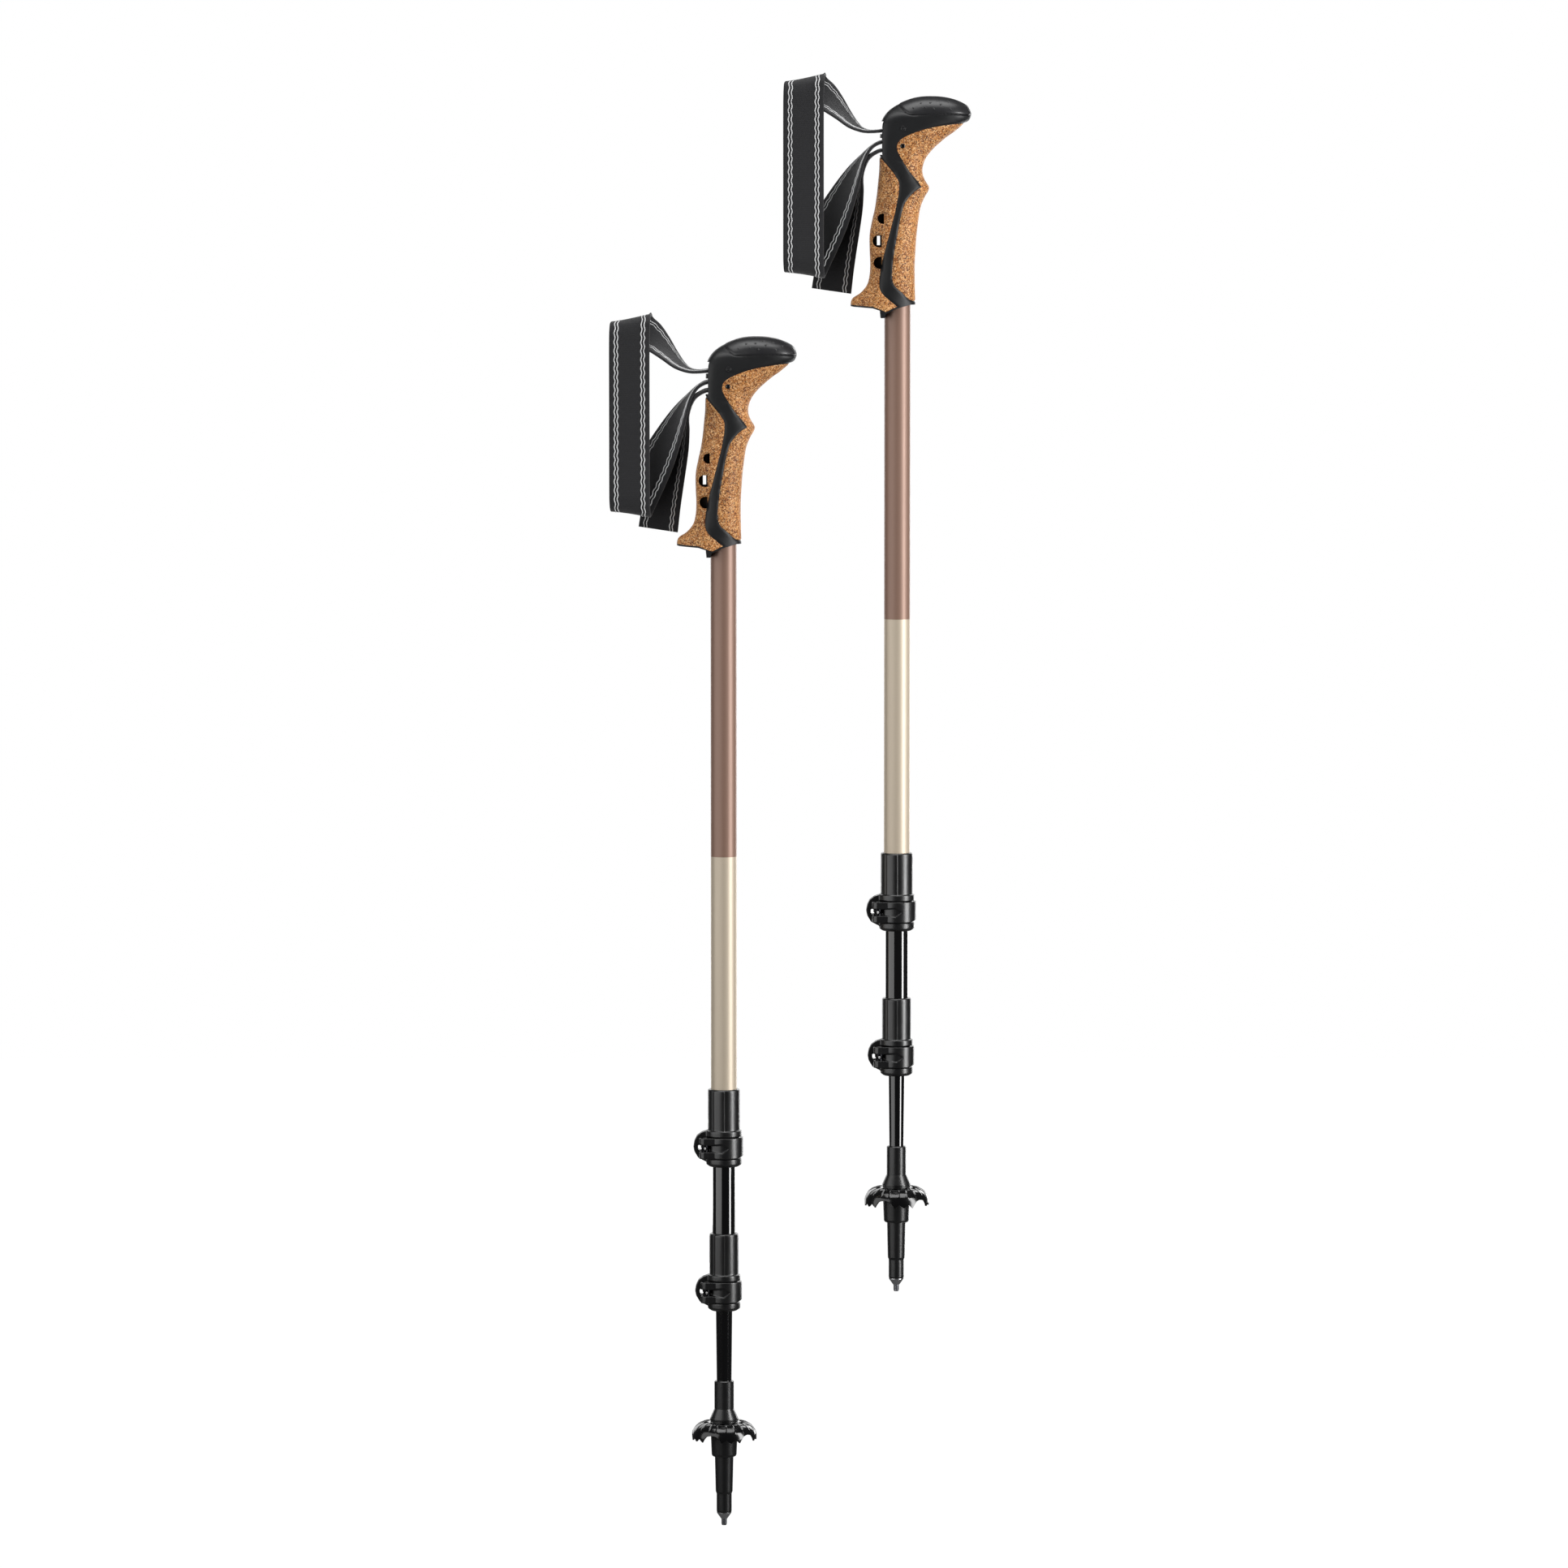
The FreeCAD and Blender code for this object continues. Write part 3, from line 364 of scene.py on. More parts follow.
def spunThread():
    # bonded polyester thread: pale grey ply, softly shining, twisted along its run
    material, tree, shader = startMaterial("spunThread", Roughness=0.6, Sheen_Weight=0.3)
    where = objectCoords(tree)
    twist = addNode(tree, "ShaderNodeTexNoise", {"Vector": where, "Scale": 2400.0, "Detail": 1.0})
    tree.links.new(mixColours(tree, twist.outputs["Fac"], hexColour("#8f9092"), hexColour("#e4e4e4")),
                   shader.inputs["Base Color"])
    linkBump(tree, shader, twist.outputs["Fac"], 0.5, 0.0001)
    return material


finish = {
    "cork": corkComposite(cork),
    "softTouch": mouldedBlack("softTouchRubber", "#0c0d0f", 0.50, 0.16, 0.00003, Specular_IOR_Level=0.36),
    "pad": mouldedBlack("grainedPadRubber", "#1c1c1e", 0.38, 0.22, 0.00006),
    "nylon": mouldedBlack("glassFilledNylon", "#0b0b0c", 0.30, 0.30, 0.00006, IOR=1.58),
    "tip": mouldedBlack("mouldedTipPlastic", "#0b0b0c", 0.31, 0.35, 0.00004, IOR=1.55),
    "basket": mouldedBlack("glossBasketPlastic", "#050506", 0.16, 0.9, 0.00003, 0.04),
    "webbing": wovenWebbing(webbingValues),
    "thread": spunThread(),
    "steel": turnedSteel("turnedSteel", "#b9b9bb", 0.26),
    "blackSteel": turnedSteel("blackenedSteel", "#1d1d1f", 0.3),
    "carbide": turnedSteel("sinteredCarbide", "#6d6e72", 0.42),
}
# lacquer colours from the clamp upwards, and the height of the change between them in mm
lacquer = {"beige": "#b8ab98", "bronze": "#84685a", "black": "#040405", "change": 469.4}
for side, base in poleBase.items():
    finish[side + "Upper"] = paintedTube(side + "SatinLacquer", 0.47, 0.34, 0.12,
                                         [lacquer["beige"], lacquer["bronze"]], [lacquer["change"]], base)
    finish[side + "Black"] = paintedTube(side + "BlackLacquer", 0.10, 0.0, 0.6, [lacquer["black"]], [], base)
print("materials made")

# CAD nodes whose shape is right keep it and get a finish
cadFinish = {"middle_tube": "Black", "lower_tube": "Black", "upper_tube": "Upper", "strap_wedge": "nylon",
             "upper_tube_plug": "nylon", "middle_tube_bush": "nylon", "lower_tube_bush": "nylon",
             "tip_sleeve": "tip", "tip_ferrule": "steel", "carbide_tip": "carbide", "basket_hub": "tip",
             "basket_disc": "basket", "strap_pin": "nylon", "strap_guide_pin": "nylon",
             "grip_frame": "softTouch", "grip_cork_front": "cork", "grip_cork_rear": "cork",
             "grip_top_pad": "pad", "grip_collar": "softTouch", "wrist_strap": "webbing"}
for level in ("upper", "lower"):
    cadFinish.update({level + "_clamp_" + part: "nylon" for part in ("collar", "lever")})
    cadFinish.update({level + "_clamp_" + part: "blackSteel" for part in ("barrel", "screw", "washer")})


def dressNode(piece, material):
    piece.data.materials.clear()
    piece.data.materials.append(material)


for side in poleBase:
    for name, key in cadFinish.items():
        dressNode(nodes[side + "_" + name], finish.get(key) or finish[side + key])
print("frame dressed")


def smoothLine(points, step, corners=()):
    # even points along a Catmull-Rom line through (x, z) points in mm, kept sharp at the listed corners
    points = [np.array(p, float) for p in points]
    result = [points[0]]
    for k in range(len(points) - 1):
        a, b = points[k], points[k + 1]
        before = a if k == 0 or k in corners else points[k - 1]
        after = b if k + 2 == len(points) or k + 1 in corners else points[k + 2]
        count = max(1, int(np.linalg.norm(b - a) / step))
        for t in (np.arange(count) + 1) / count:
            result.append(0.5 * (2 * a + (b - before) * t + (2 * before - 5 * a + 4 * b - after) * t ** 2
                                 + (3 * a - before - 3 * b + after) * t ** 3))
    return np.array(result)


def meshFrom(name, vertices, faces):
    mesh = bpy.data.meshes.new(name)
    mesh.from_pydata([tuple(v) for v in vertices], [], [tuple(f) for f in faces])
    mesh.update()
    return mesh


def tubeFaces(rings, around):
    # quads between closed rings, with a fan at each end on its own middle point
    faces = []
    for i in range(rings - 1):
        for j in range(around):
            k = (j + 1) % around
            faces.append((i * around + j, i * around + k, (i + 1) * around + k, (i + 1) * around + j))
    first, last = rings * around, rings * around + 1
    for j in range(around):
        k = (j + 1) % around
        faces.append((k, j, first))
        faces.append(((rings - 1) * around + j, (rings - 1) * around + k, last))
    return faces


def prismMesh(outline, half=0.045):
    # closed slab of an (x, z) outline in mm, from -half to +half along y
    count = len(outline)
    vertices = [(x * mm, side * half, z * mm) for side in (-1, 1) for x, z in outline]
    faces = [tuple(range(count)), tuple(reversed(range(count, 2 * count)))]
    faces += [(j, j + count, (j + 1) % count + count, (j + 1) % count) for j in range(count)]
    return outward(meshFrom("cutter", vertices, faces))


def roundMesh(radius, low, high, sides=64):
    # closed cylinder in mm along the pole
    work = bmesh.new()
    bmesh.ops.create_cone(work, cap_ends=True, segments=sides, radius1=radius * mm, radius2=radius * mm,
                          depth=(high - low) * mm,
                          matrix=Matrix.Translation(Vector((0, 0, (low + high) / 2)) * mm))
    mesh = bpy.data.meshes.new("cutter")
    work.to_mesh(mesh)
    work.free()
    return outward(mesh)


def boxMesh(x0, x1, z0, z1, half):
    return prismMesh([(x0, z0), (x1, z0), (x1, z1), (x0, z1)], half * mm)


def outward(mesh):
    work = bmesh.new()
    work.from_mesh(mesh)
    bmesh.ops.recalc_face_normals(work, faces=work.faces)
    work.to_mesh(mesh)
    work.free()
    return mesh


def evaluated(mesh, addModifiers):
    # the plain mesh that a mesh becomes under the modifiers that addModifiers puts on it
    item = linked("shaped", mesh)
    addModifiers(item.modifiers)
    depsgraph = bpy.context.evaluated_depsgraph_get()
    result = bpy.data.meshes.new_from_object(item.evaluated_get(depsgraph))
    bpy.data.objects.remove(item)
    return result


def carve(mesh, cutter, operation="DIFFERENCE"):
    knife = linked("knife", cutter)

    def add(modifiers):
        cut = modifiers.new("cut", "BOOLEAN")
        cut.object, cut.operation, cut.solver = knife, operation, "MANIFOLD"
    result = evaluated(mesh, add)
    bpy.data.objects.remove(knife)
    return result


def joined(name, meshes):
    work = bmesh.new()
    for mesh in meshes:
        work.from_mesh(mesh)
    result = bpy.data.meshes.new(name)
    work.to_mesh(result)
    work.free()
    return result


def finishPiece(name, mesh, material, body, replaced, sharpAngle=35):
    mesh = mesh.copy()
    mesh.name = name
    mesh.transform(Matrix.Translation(poleBase[name.split("_")[0]]))
    mesh.materials.clear()
    mesh.materials.append(material)
    mesh.polygons.foreach_set("material_index", [0] * len(mesh.polygons))
    mesh.shade_smooth()
    mesh.set_sharp_from_angle(angle=math.radians(sharpAngle))
    piece = linked(name, mesh)
    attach(piece, body)
    if replaced:
        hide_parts(*replaced)
    return piece


# the grip: one blank, cut into frame, corks, pad and collar; lengths in mm from the pole's tip
grip = {
    # front point and rear point of each section in the side view, and its half width
    "sections": [(12.4, 676.0, -31.8, 676.0, 13.6), (12.4, 683.0, -32.3, 683.2, 13.7),
                 (12.3, 690.0, -31.4, 690.2, 13.8), (12.1, 695.0, -25.5, 694.6, 14.2),
                 (12.0, 700.0, -21.2, 699.8, 14.8), (11.9, 706.0, -19.4, 706.0, 15.2),
                 (11.9, 714.5, -18.8, 714.0, 15.5), (12.4, 724.0, -19.2, 724.0, 15.6),
                 (13.2, 735.0, -19.2, 735.0, 15.6), (14.5, 745.5, -17.4, 745.0, 15.5),
                 (15.8, 753.2, -15.8, 752.0, 15.4), (18.3, 759.7, -14.7, 759.0, 15.2),
                 (20.9, 764.2, -14.0, 764.5, 15.1), (21.6, 767.4, -13.7, 768.0, 15.0),
                 (19.0, 771.9, -13.3, 772.0, 15.0), (17.3, 776.5, -12.8, 777.0, 15.0),
                 (17.4, 781.6, -12.5, 783.0, 15.2), (19.6, 787.4, -12.4, 790.0, 15.6),
                 (24.2, 793.3, -12.3, 797.0, 16.0), (30.6, 799.1, -12.0, 805.0, 16.6),
                 (35.0, 802.6, -11.0, 812.6, 16.9), (38.4, 804.9, -6.0, 819.8, 17.1),
                 (41.5, 807.4, 3.0, 825.3, 17.2), (44.0, 809.5, 14.0, 828.8, 17.0),
                 (46.0, 811.0, 27.0, 829.3, 15.6), (47.6, 812.0, 38.0, 827.5, 12.8),
                 (49.2, 813.3, 46.8, 823.6, 8.0), (50.4, 815.8, 49.8, 819.7, 3.6)],
    "step": 0.7, "around": 132, "beak": (50.7, 817.6), "squareness": 2.25,
    "boxyRear": 7.0, "boxyFrom": (778.0, 790.0), "boxyTo": (812.0, 822.0),
    "frontEdge": [(60, 811.5), (45.5, 810.9), (33.2, 809.8), (20.3, 807.5), (8.7, 803.6), (1.6, 799.7),
                  (-0.6, 795.8), (0.3, 790.7), (7.4, 779.0), (13.8, 771.3), (16.4, 767.4), (10.0, 762.9),
                  (4.1, 754.5), (0.3, 737.7), (-3.0, 718.4), (-3.4, 702.5), (3.5, 694.5), (8.7, 689.9),
                  (14.0, 688.8)], "frontCorner": 10,
    "rearEdge": [(-14.5, 790.5), (-12.4, 788.1), (-6.8, 781.6), (-1.7, 775.2), (0.9, 768.7), (-1.0, 754.5),
                 (-5.5, 736.4), (-10.7, 715.8), (-12.6, 702.0), (-10.7, 694.5), (-0.4, 685.4)],
    "heel": [(-0.4, 685.4), (-8.1, 681.8), (-17.2, 685.4), (-30.7, 686.4), (-40.0, 688.0)],
    "collarTop": [(-40.0, 688.0), (-30.7, 686.4), (-17.2, 685.4), (-8.1, 681.8), (-0.4, 685.4), (8.7, 689.9),
                  (14.0, 688.8)],
    "collarLow": [(14.0, 686.6), (8.7, 686.6), (-0.4, 684.0), (-8.1, 680.4), (-8.9, 677.5), (-11.7, 677.5),
                  (-12.2, 682.6), (-17.2, 684.2), (-30.7, 685.2), (-40.0, 686.8)],
    "padEdge": [(1.6, 835.0), (1.6, 822.3), (6.1, 818.4), (10.6, 817.0), (33.2, 817.5), (60.0, 816.2)],
    "windows": [(-13.9, -9.4, 742.2, 749.3), (-17.2, -11.0, 726.1, 734.5), (-16.5, -11.0, 711.2, 719.6)],
    "fin": [(-10.5, 709.5), (-17.2, 709.5), (-17.9, 725.0), (-17.9, 736.0), (-14.8, 743.0), (-14.4, 751.0),
            (-10.5, 751.0)], "finHalf": 2.0, "finHole": (-14.2, -12.0, 727.4, 733.8),
    "seamDepth": 0.6, "seamWidth": 0.6, "padRise": 0.35, "windowLip": 1.0, "windowSink": 0.9,
    # radius and ends of the sleeve, of the tube's socket, and the boxes that the strap runs through
    "sleeve": (11.0, 684, 789), "socket": (9.0, 660, 786), "chamberHalf": 14.5,
    "chamber": [(-20, 9, 803.6, 812.4), (-20, 8.2, 789.4, 801), (-5.4, 8.2, 800.9, 803.7)],
    "dots": [(10.6, 821.7), (15.8, 824.9), (18.4, 822.3), (22.2, 825.2), (24.5, 821.0), (27.3, 826.8),
             (29.3, 824.0), (34.5, 825.9), (36.0, 821.0), (40.7, 823.3)], "dotRadius": 0.8,
    # x, z, radius, and then the ring's wire or the head's height
    "ring": (3.5, 807.5, 1.55, 0.32), "pinHead": (3.2, 795.6, 1.75, 0.75)}


def windowOutline(x0, x1, z0, z1):
    # D-shaped, its round side to the rear
    radius, middle = (z1 - z0) / 2, (z0 + z1) / 2
    bow = [(x0 + radius - radius * math.sin(a), middle + radius * math.cos(a))
           for a in np.linspace(0, math.pi, 17)]
    return [(x1, z0), (x1, z1)] + [p for p in bow if p[0] < x1]


def distanceTo(line, x, z):
    # shortest way from each (x, z) to an open line of points
    best = np.full(x.shape, 1e9)
    for (ax, az), (bx, bz) in zip(line, line[1:]):
        dx, dz = bx - ax, bz - az
        along = np.clip(((x - ax) * dx + (z - az) * dz) / max(dx * dx + dz * dz, 1e-9), 0, 1)
        best = np.minimum(best, np.hypot(x - ax - along * dx, z - az - along * dz))
    return best


def gripBlank(values, lines, padOutline):
    # fan of rounded sections from the heel up the handle and over the head to the beak
    dense = smoothLine(values["sections"], values["step"])
    count = len(dense)
    angles = np.linspace(0, 2 * math.pi, values["around"], endpoint=False)
    front, rear, half = dense[:, None, 0:2], dense[:, None, 2:4], dense[:, None, 4]
    rearHeight = dense[:, None, 3]
    boxy = (np.clip((rearHeight - values["boxyFrom"][0]) / np.ptp(values["boxyFrom"]), 0, 1)
            * np.clip((values["boxyTo"][1] - rearHeight) / np.ptp(values["boxyTo"]), 0, 1))
    square = values["squareness"] + boxy * (values["boxyRear"] - values["squareness"])
    power = 2 / np.where(np.cos(angles)[None, :] < 0, square, values["squareness"])
    across = np.sign(np.cos(angles)) * np.abs(np.cos(angles)) ** power
    aside = np.sign(np.sin(angles)) * np.abs(np.sin(angles)) ** power
    flat = (front + rear) / 2 + (front - rear) / 2 * across[..., None]
    points = np.stack([flat[..., 0], half * aside, flat[..., 1]], axis=-1)
    normals = np.cross(np.gradient(points, axis=1), np.gradient(points, axis=0))
    normals /= np.linalg.norm(normals, axis=-1, keepdims=True) + 1e-12
    middle = points.mean(axis=1, keepdims=True)
    normals *= np.sign(np.sum(normals * (points - middle), axis=-1, keepdims=True))
    x, z = points[..., 0], points[..., 2]
    push = np.zeros(x.shape)
    for line in lines:
        push -= values["seamDepth"] * np.exp(-(distanceTo(line, x, z) / values["seamWidth"]) ** 2)
    for window in values["windows"]:
        outline = windowOutline(*window)
        near = distanceTo(outline + outline[:1], x, z) / values["windowLip"]
        push -= values["windowSink"] * np.exp(-near ** 2)
    push += np.where(insideOf(padOutline, x, z), values["padRise"], 0.0)
    points = points + normals * push[..., None]
    vertices = list(points.reshape(-1, 3) * mm)
    vertices.append(points[0].mean(axis=0) * mm)
    vertices.append(np.array([values["beak"][0], 0, values["beak"][1]]) * mm)
    return outward(meshFrom("gripBlank", vertices, tubeFaces(count, values["around"])))


def insideOf(outline, x, z):
    # which of the (x, z) places lie inside a closed outline
    inside = np.zeros(x.shape, dtype=bool)
    for (ax, az), (bx, bz) in zip(outline, outline[1:] + outline[:1]):
        if az != bz:
            crossing = ((az > z) != (bz > z)) & (x < (bx - ax) * (z - az) / (bz - az) + ax)
            inside ^= crossing
    return inside


def makeGrip(values):
    front = smoothLine(values["frontEdge"], 0.8, (values["frontCorner"],))
    rear = smoothLine(values["rearEdge"], 0.8)
    padLine = smoothLine(values["padEdge"][1:], 0.8)
    padOutline = [values["padEdge"][0]] + [tuple(p) for p in padLine] + [(60.0, 835.0)]
    blank = gripBlank(values, [front, rear, padLine], padOutline)
    socket, core = roundMesh(*values["socket"]), roundMesh(*values["sleeve"])
    for cutter in [socket] + [boxMesh(*box, values["chamberHalf"]) for box in values["chamber"]]:
        blank = carve(blank, cutter)
    frontSlab = prismMesh(list(front) + [(60.0, 688.8)])
    rearSlab = prismMesh(list(rear) + values["heel"][1:] + [(-40.0, 790.5)])
    padSlab = prismMesh(padOutline)
    collarSlab = prismMesh(values["collarTop"] + values["collarLow"])
    above = prismMesh(values["collarTop"] + [(60.0, 688.8), (60.0, 840.0), (-40.0, 840.0)])
    sleeve = carve(carve(core, above, "INTERSECT"), socket)
    frame = carve(blank, above, "INTERSECT")
    for slab in (frontSlab, rearSlab, padSlab):
        frame = carve(frame, slab)
    frontCork, rearCork = (carve(carve(blank, slab, "INTERSECT"), core) for slab in (frontSlab, rearSlab))
    for window in values["windows"]:
        rearCork = carve(rearCork, prismMesh(windowOutline(*window)))
    fin = carve(prismMesh(values["fin"], values["finHalf"] * mm), boxMesh(*values["finHole"], 4))
    return {**gripDetails(values, blank), "frame": joined("frame", [frame, sleeve, fin]),
            "corkFront": frontCork, "corkRear": rearCork, "pad": carve(blank, padSlab, "INTERSECT"),
            "collar": carve(blank, collarSlab, "INTERSECT")}


def lathe(name, profile, sides, closed=False):
    # turn (radius, height) points in mm round Z; an open profile starts and ends on the axis
    count, rows = len(profile), []
    vertices = []
    for radius, height in profile:
        if radius == 0:
            rows.append([len(vertices)] * sides)
            vertices.append((0, 0, height * mm))
            continue
        rows.append(list(range(len(vertices), len(vertices) + sides)))
        for k in range(sides):
            angle = 2 * math.pi * k / sides
            vertices.append((radius * math.cos(angle) * mm, radius * math.sin(angle) * mm, height * mm))
    faces = []
    for i in range(count if closed else count - 1):
        low, high = rows[i], rows[(i + 1) % count]
        for k in range(sides):
            n = (k + 1) % sides
            corners = [low[k], low[n], high[n], high[k]]
            faces.append([c for j, c in enumerate(corners) if c not in corners[:j]])
    return outward(meshFrom(name, vertices, faces))


def onSurface(tree, x, z, side):
    # where a line across the pole at (x, z) mm meets the grip, and which way the grip faces there
    place, normal, _, _ = tree.ray_cast(Vector((x * mm, side * 0.06, z * mm)), Vector((0, -side, 0)))
    return place, normal


def seated(mesh, place, normal, sunk=0.0):
    copy = mesh.copy()
    turn = normal.to_track_quat("Z", "Y").to_matrix().to_4x4()
    copy.transform(Matrix.Translation(place - normal * sunk * mm) @ turn)
    return copy


def startGroup(name, geometry, sizes, material, result):
    # node group with its sizes in metres and its material as named inputs
    group = bpy.data.node_groups.new(name, "GeometryNodeTree")
    sockets = group.interface
    sockets.new_socket(geometry, in_out="INPUT", socket_type="NodeSocketGeometry")
    for size, default in sizes.items():
        sockets.new_socket(size, in_out="INPUT", socket_type="NodeSocketFloat").default_value = default
    sockets.new_socket(material, in_out="INPUT", socket_type="NodeSocketMaterial")
    sockets.new_socket(result, in_out="OUTPUT", socket_type="NodeSocketGeometry")
    return group, addNode(group, "NodeGroupInput").outputs


def dotNodes():
    # small domes standing on points, each facing its own way
    group, given = startGroup("raisedDots", "Places", {"Dot radius": 0.0006}, "Rubber", "Dots")
    ball = addNode(group, "GeometryNodeMeshUVSphere", {"Segments": 14, "Rings": 8,
                                                       "Radius": given["Dot radius"]})
    facing = addNode(group, "GeometryNodeInputNamedAttribute", {"Name": "facing"}, data_type="FLOAT_VECTOR")
    turn = addNode(group, "FunctionNodeAlignRotationToVector", {"Vector": facing.outputs["Attribute"]},
                   axis="Z")
    placed = addNode(group, "GeometryNodeInstanceOnPoints", {
        "Points": given["Places"], "Instance": ball.outputs["Mesh"], "Rotation": turn.outputs["Rotation"],
        "Scale": (1.0, 1.0, 0.55)})
    real = addNode(group, "GeometryNodeRealizeInstances", {"Geometry": placed.outputs["Instances"]})
    painted = addNode(group, "GeometryNodeSetMaterial", {"Geometry": real.outputs["Geometry"],
                                                         "Material": given["Rubber"]})
    addNode(group, "NodeGroupOutput", {"Dots": painted.outputs["Geometry"]})
    return group


def grown(mesh, group, **inputs):
    # run a node group on a mesh, with its inputs set by their sockets' identifiers
    def add(modifiers):
        growth = modifiers.new("growth", "NODES")
        growth.node_group = group
        for socket in group.interface.items_tree:
            if socket.name in inputs:
                growth[socket.identifier] = inputs[socket.name]
    return evaluated(mesh, add)


def gripDetails(values, blank):
    tree = BVHTree.FromPolygons([v.co for v in blank.vertices], [p.vertices for p in blank.polygons])
    spots = [onSurface(tree, x, z, side) for side in (-1, 1) for x, z in values["dots"]]
    places = bpy.data.meshes.new("dotPlaces")
    places.from_pydata([place for place, _ in spots], [], [])
    facing = places.attributes.new("facing", "FLOAT_VECTOR", "POINT")
    facing.data.foreach_set("vector", np.array([normal for _, normal in spots]).ravel())
    dots = grown(places, dotNodes(), **{"Dot radius": values["dotRadius"] * mm, "Rubber": finish["pad"]})
    x, z, radius, wire = values["ring"]
    loop = [(radius + wire * math.cos(a), wire * math.sin(a))
            for a in np.linspace(0, 2 * math.pi, 10, endpoint=False)]
    ring = lathe("ring", loop, 40, closed=True)
    inner = radius - 0.5
    stub = lathe("stub", [(0, -1.5), (inner, -1.5), (inner, 0.1), (inner - 0.3, 0.25), (0, 0.3)], 32)
    rings = [seated(part, *onSurface(tree, x, z, side)) for side in (-1, 1) for part in (ring, stub)]
    x, z, radius, height = values["pinHead"]
    bow = [(radius * math.cos(a), height * math.sin(a)) for a in np.linspace(0, math.pi / 2, 8)[:-1]]
    head = lathe("head", [(0, -2.0), (radius, -2.0)] + bow + [(0, height)], 40)
    heads = [seated(head, *onSurface(tree, x, z, side), 0.15) for side in (-1, 1)]
    return {"dots": dots, "rings": joined("rings", rings), "heads": joined("heads", heads)}


gripMeshes = makeGrip(grip)
print("grip made", {name: len(mesh.polygons) for name, mesh in gripMeshes.items()})
gripPieces = {  # piece: (shape, finish, CAD nodes it stands for)
    "_grip_head_and_band": ("frame", "softTouch", ["_grip_frame"]),
    "_grip_cork_front_skin": ("corkFront", "cork", ["_grip_cork_front"]),
    "_grip_cork_rear_skin": ("corkRear", "cork", ["_grip_cork_rear"]),
    "_grip_pad_skin": ("pad", "pad", ["_grip_top_pad"]),
    "_grip_collar_skin": ("collar", "softTouch", ["_grip_collar"]),
    "_grip_pad_dots": ("dots", "pad", []), "_strap_pin_rings": ("rings", "softTouch", []),
    "_guide_pin_heads": ("heads", "basket", [])}
for side in poleBase:
    for name, (shape, material, replaced) in gripPieces.items():
        finishPiece(side + name, gripMeshes[shape], finish[material], side + "_upper_section",
                    [side + node for node in replaced])
print("grip placed")


# wrist strap
strap = {
    # middle of the webbing and the direction of its width, from the eye on the strap pin to the free end
    "stations": [
        ((1.0, 0, 804.6), (0, 1, 0)), ((5.6, 0, 805.0), (0, 1, 0)), ((6.5, 0, 808.2), (0, 1, 0)),
        ((3.5, 0, 810.4), (0, 1, 0)), ((-3.0, 0, 808.0), (0, 1, 0)), ((-9.0, 0, 806.4), (0, 1, 0)),
        ((-17.0, 0, 805.5), (0, 1, 0)), ((-24.0, 0, 806.4), (0.05, 0.99, 0.05)),
        ((-31.0, 0.6, 810.4), (0.20, 0.96, 0.12)), ((-38.0, 1.8, 817.4), (0.34, 0.92, 0.20)),
        ((-45.0, 3.4, 824.6), (0.52, 0.80, 0.30)), ((-52.0, 5.4, 830.6), (0.74, 0.56, 0.36)),
        ((-57.6, 7.0, 834.0), (0.90, 0.26, 0.34)), ((-61.0, 6.8, 837.2), (0.965, 0.06, 0.25)),
        ((-62.6, 4.4, 840.2), (0.975, 0, 0.22)), ((-63.4, 0.0, 841.3), (0.977, 0, 0.21)),
        ((-64.0, -4.4, 840.0), (0.98, 0, 0.19)), ((-64.5, -7.2, 835.5), (0.985, 0, 0.17)),
        ((-64.8, -8.0, 822.0), (1, 0, 0)), ((-64.8, -8.0, 770.0), (1, 0, 0)),
        ((-64.8, -8.0, 726.0), (1, 0, 0)),
        ((-64.7, -7.2, 715.5), (0.99, 0, -0.10)), ((-64.3, -4.4, 709.6), (0.99, 0, -0.14)),
        ((-63.8, -0.5, 708.0), (0.99, 0, -0.16)), ((-62.8, 3.0, 710.0), (0.98, -0.05, -0.20)),
        ((-60.5, 4.6, 715.5), (0.95, -0.14, -0.28)), ((-54.0, 5.0, 728.0), (0.87, -0.33, -0.38)),
        ((-46.0, 4.4, 743.5), (0.76, -0.52, -0.38)), ((-38.0, 3.0, 760.0), (0.58, -0.74, -0.32)),
        ((-30.5, 1.5, 775.5), (0.35, -0.92, -0.19)), ((-24.0, 0.5, 787.0), (0.12, -0.99, -0.05)),
        ((-18.0, 0, 794.5), (0, -1, 0)), ((-12.0, 0, 798.0), (0, -1, 0)), ((-6.0, 0, 798.6), (0, -1, 0)),
        ((3.2, 0, 798.6), (0, -1, 0)), ((6.2, 0, 795.6), (0, -1, 0)), ((3.2, 0, 792.6), (0, -1, 0)),
        ((-6.0, 0, 792.6), (0, -1, 0)), ((-12.5, 0, 792.2), (0, -1, 0)), ((-19.2, 0.9, 788.0), (0.02, -1, 0)),
        ((-24.2, 3.2, 780.2), (0.12, -0.99, -0.05)), ((-28.2, 7.2, 769.4), (0.38, -0.92, -0.12)),
        ((-33.2, 11.2, 753.6), (0.66, -0.74, -0.14)), ((-38.4, 13.8, 735.0), (0.84, -0.52, -0.14)),
        ((-42.6, 14.6, 715.0), (0.93, -0.33, -0.16)), ((-45.4, 14.8, 695.5), (0.96, -0.18, -0.20))],
    "width": 28.0, "thick": 1.9, "step": 0.9, "rows": 22, "edgeSteps": 5,
    "seams": [-10.2, -8.2, 8.2, 10.2], "wavePeriod": 6.0, "waveWidth": 0.34, "threadRadius": 0.38,
    "threadSunk": 0.05}


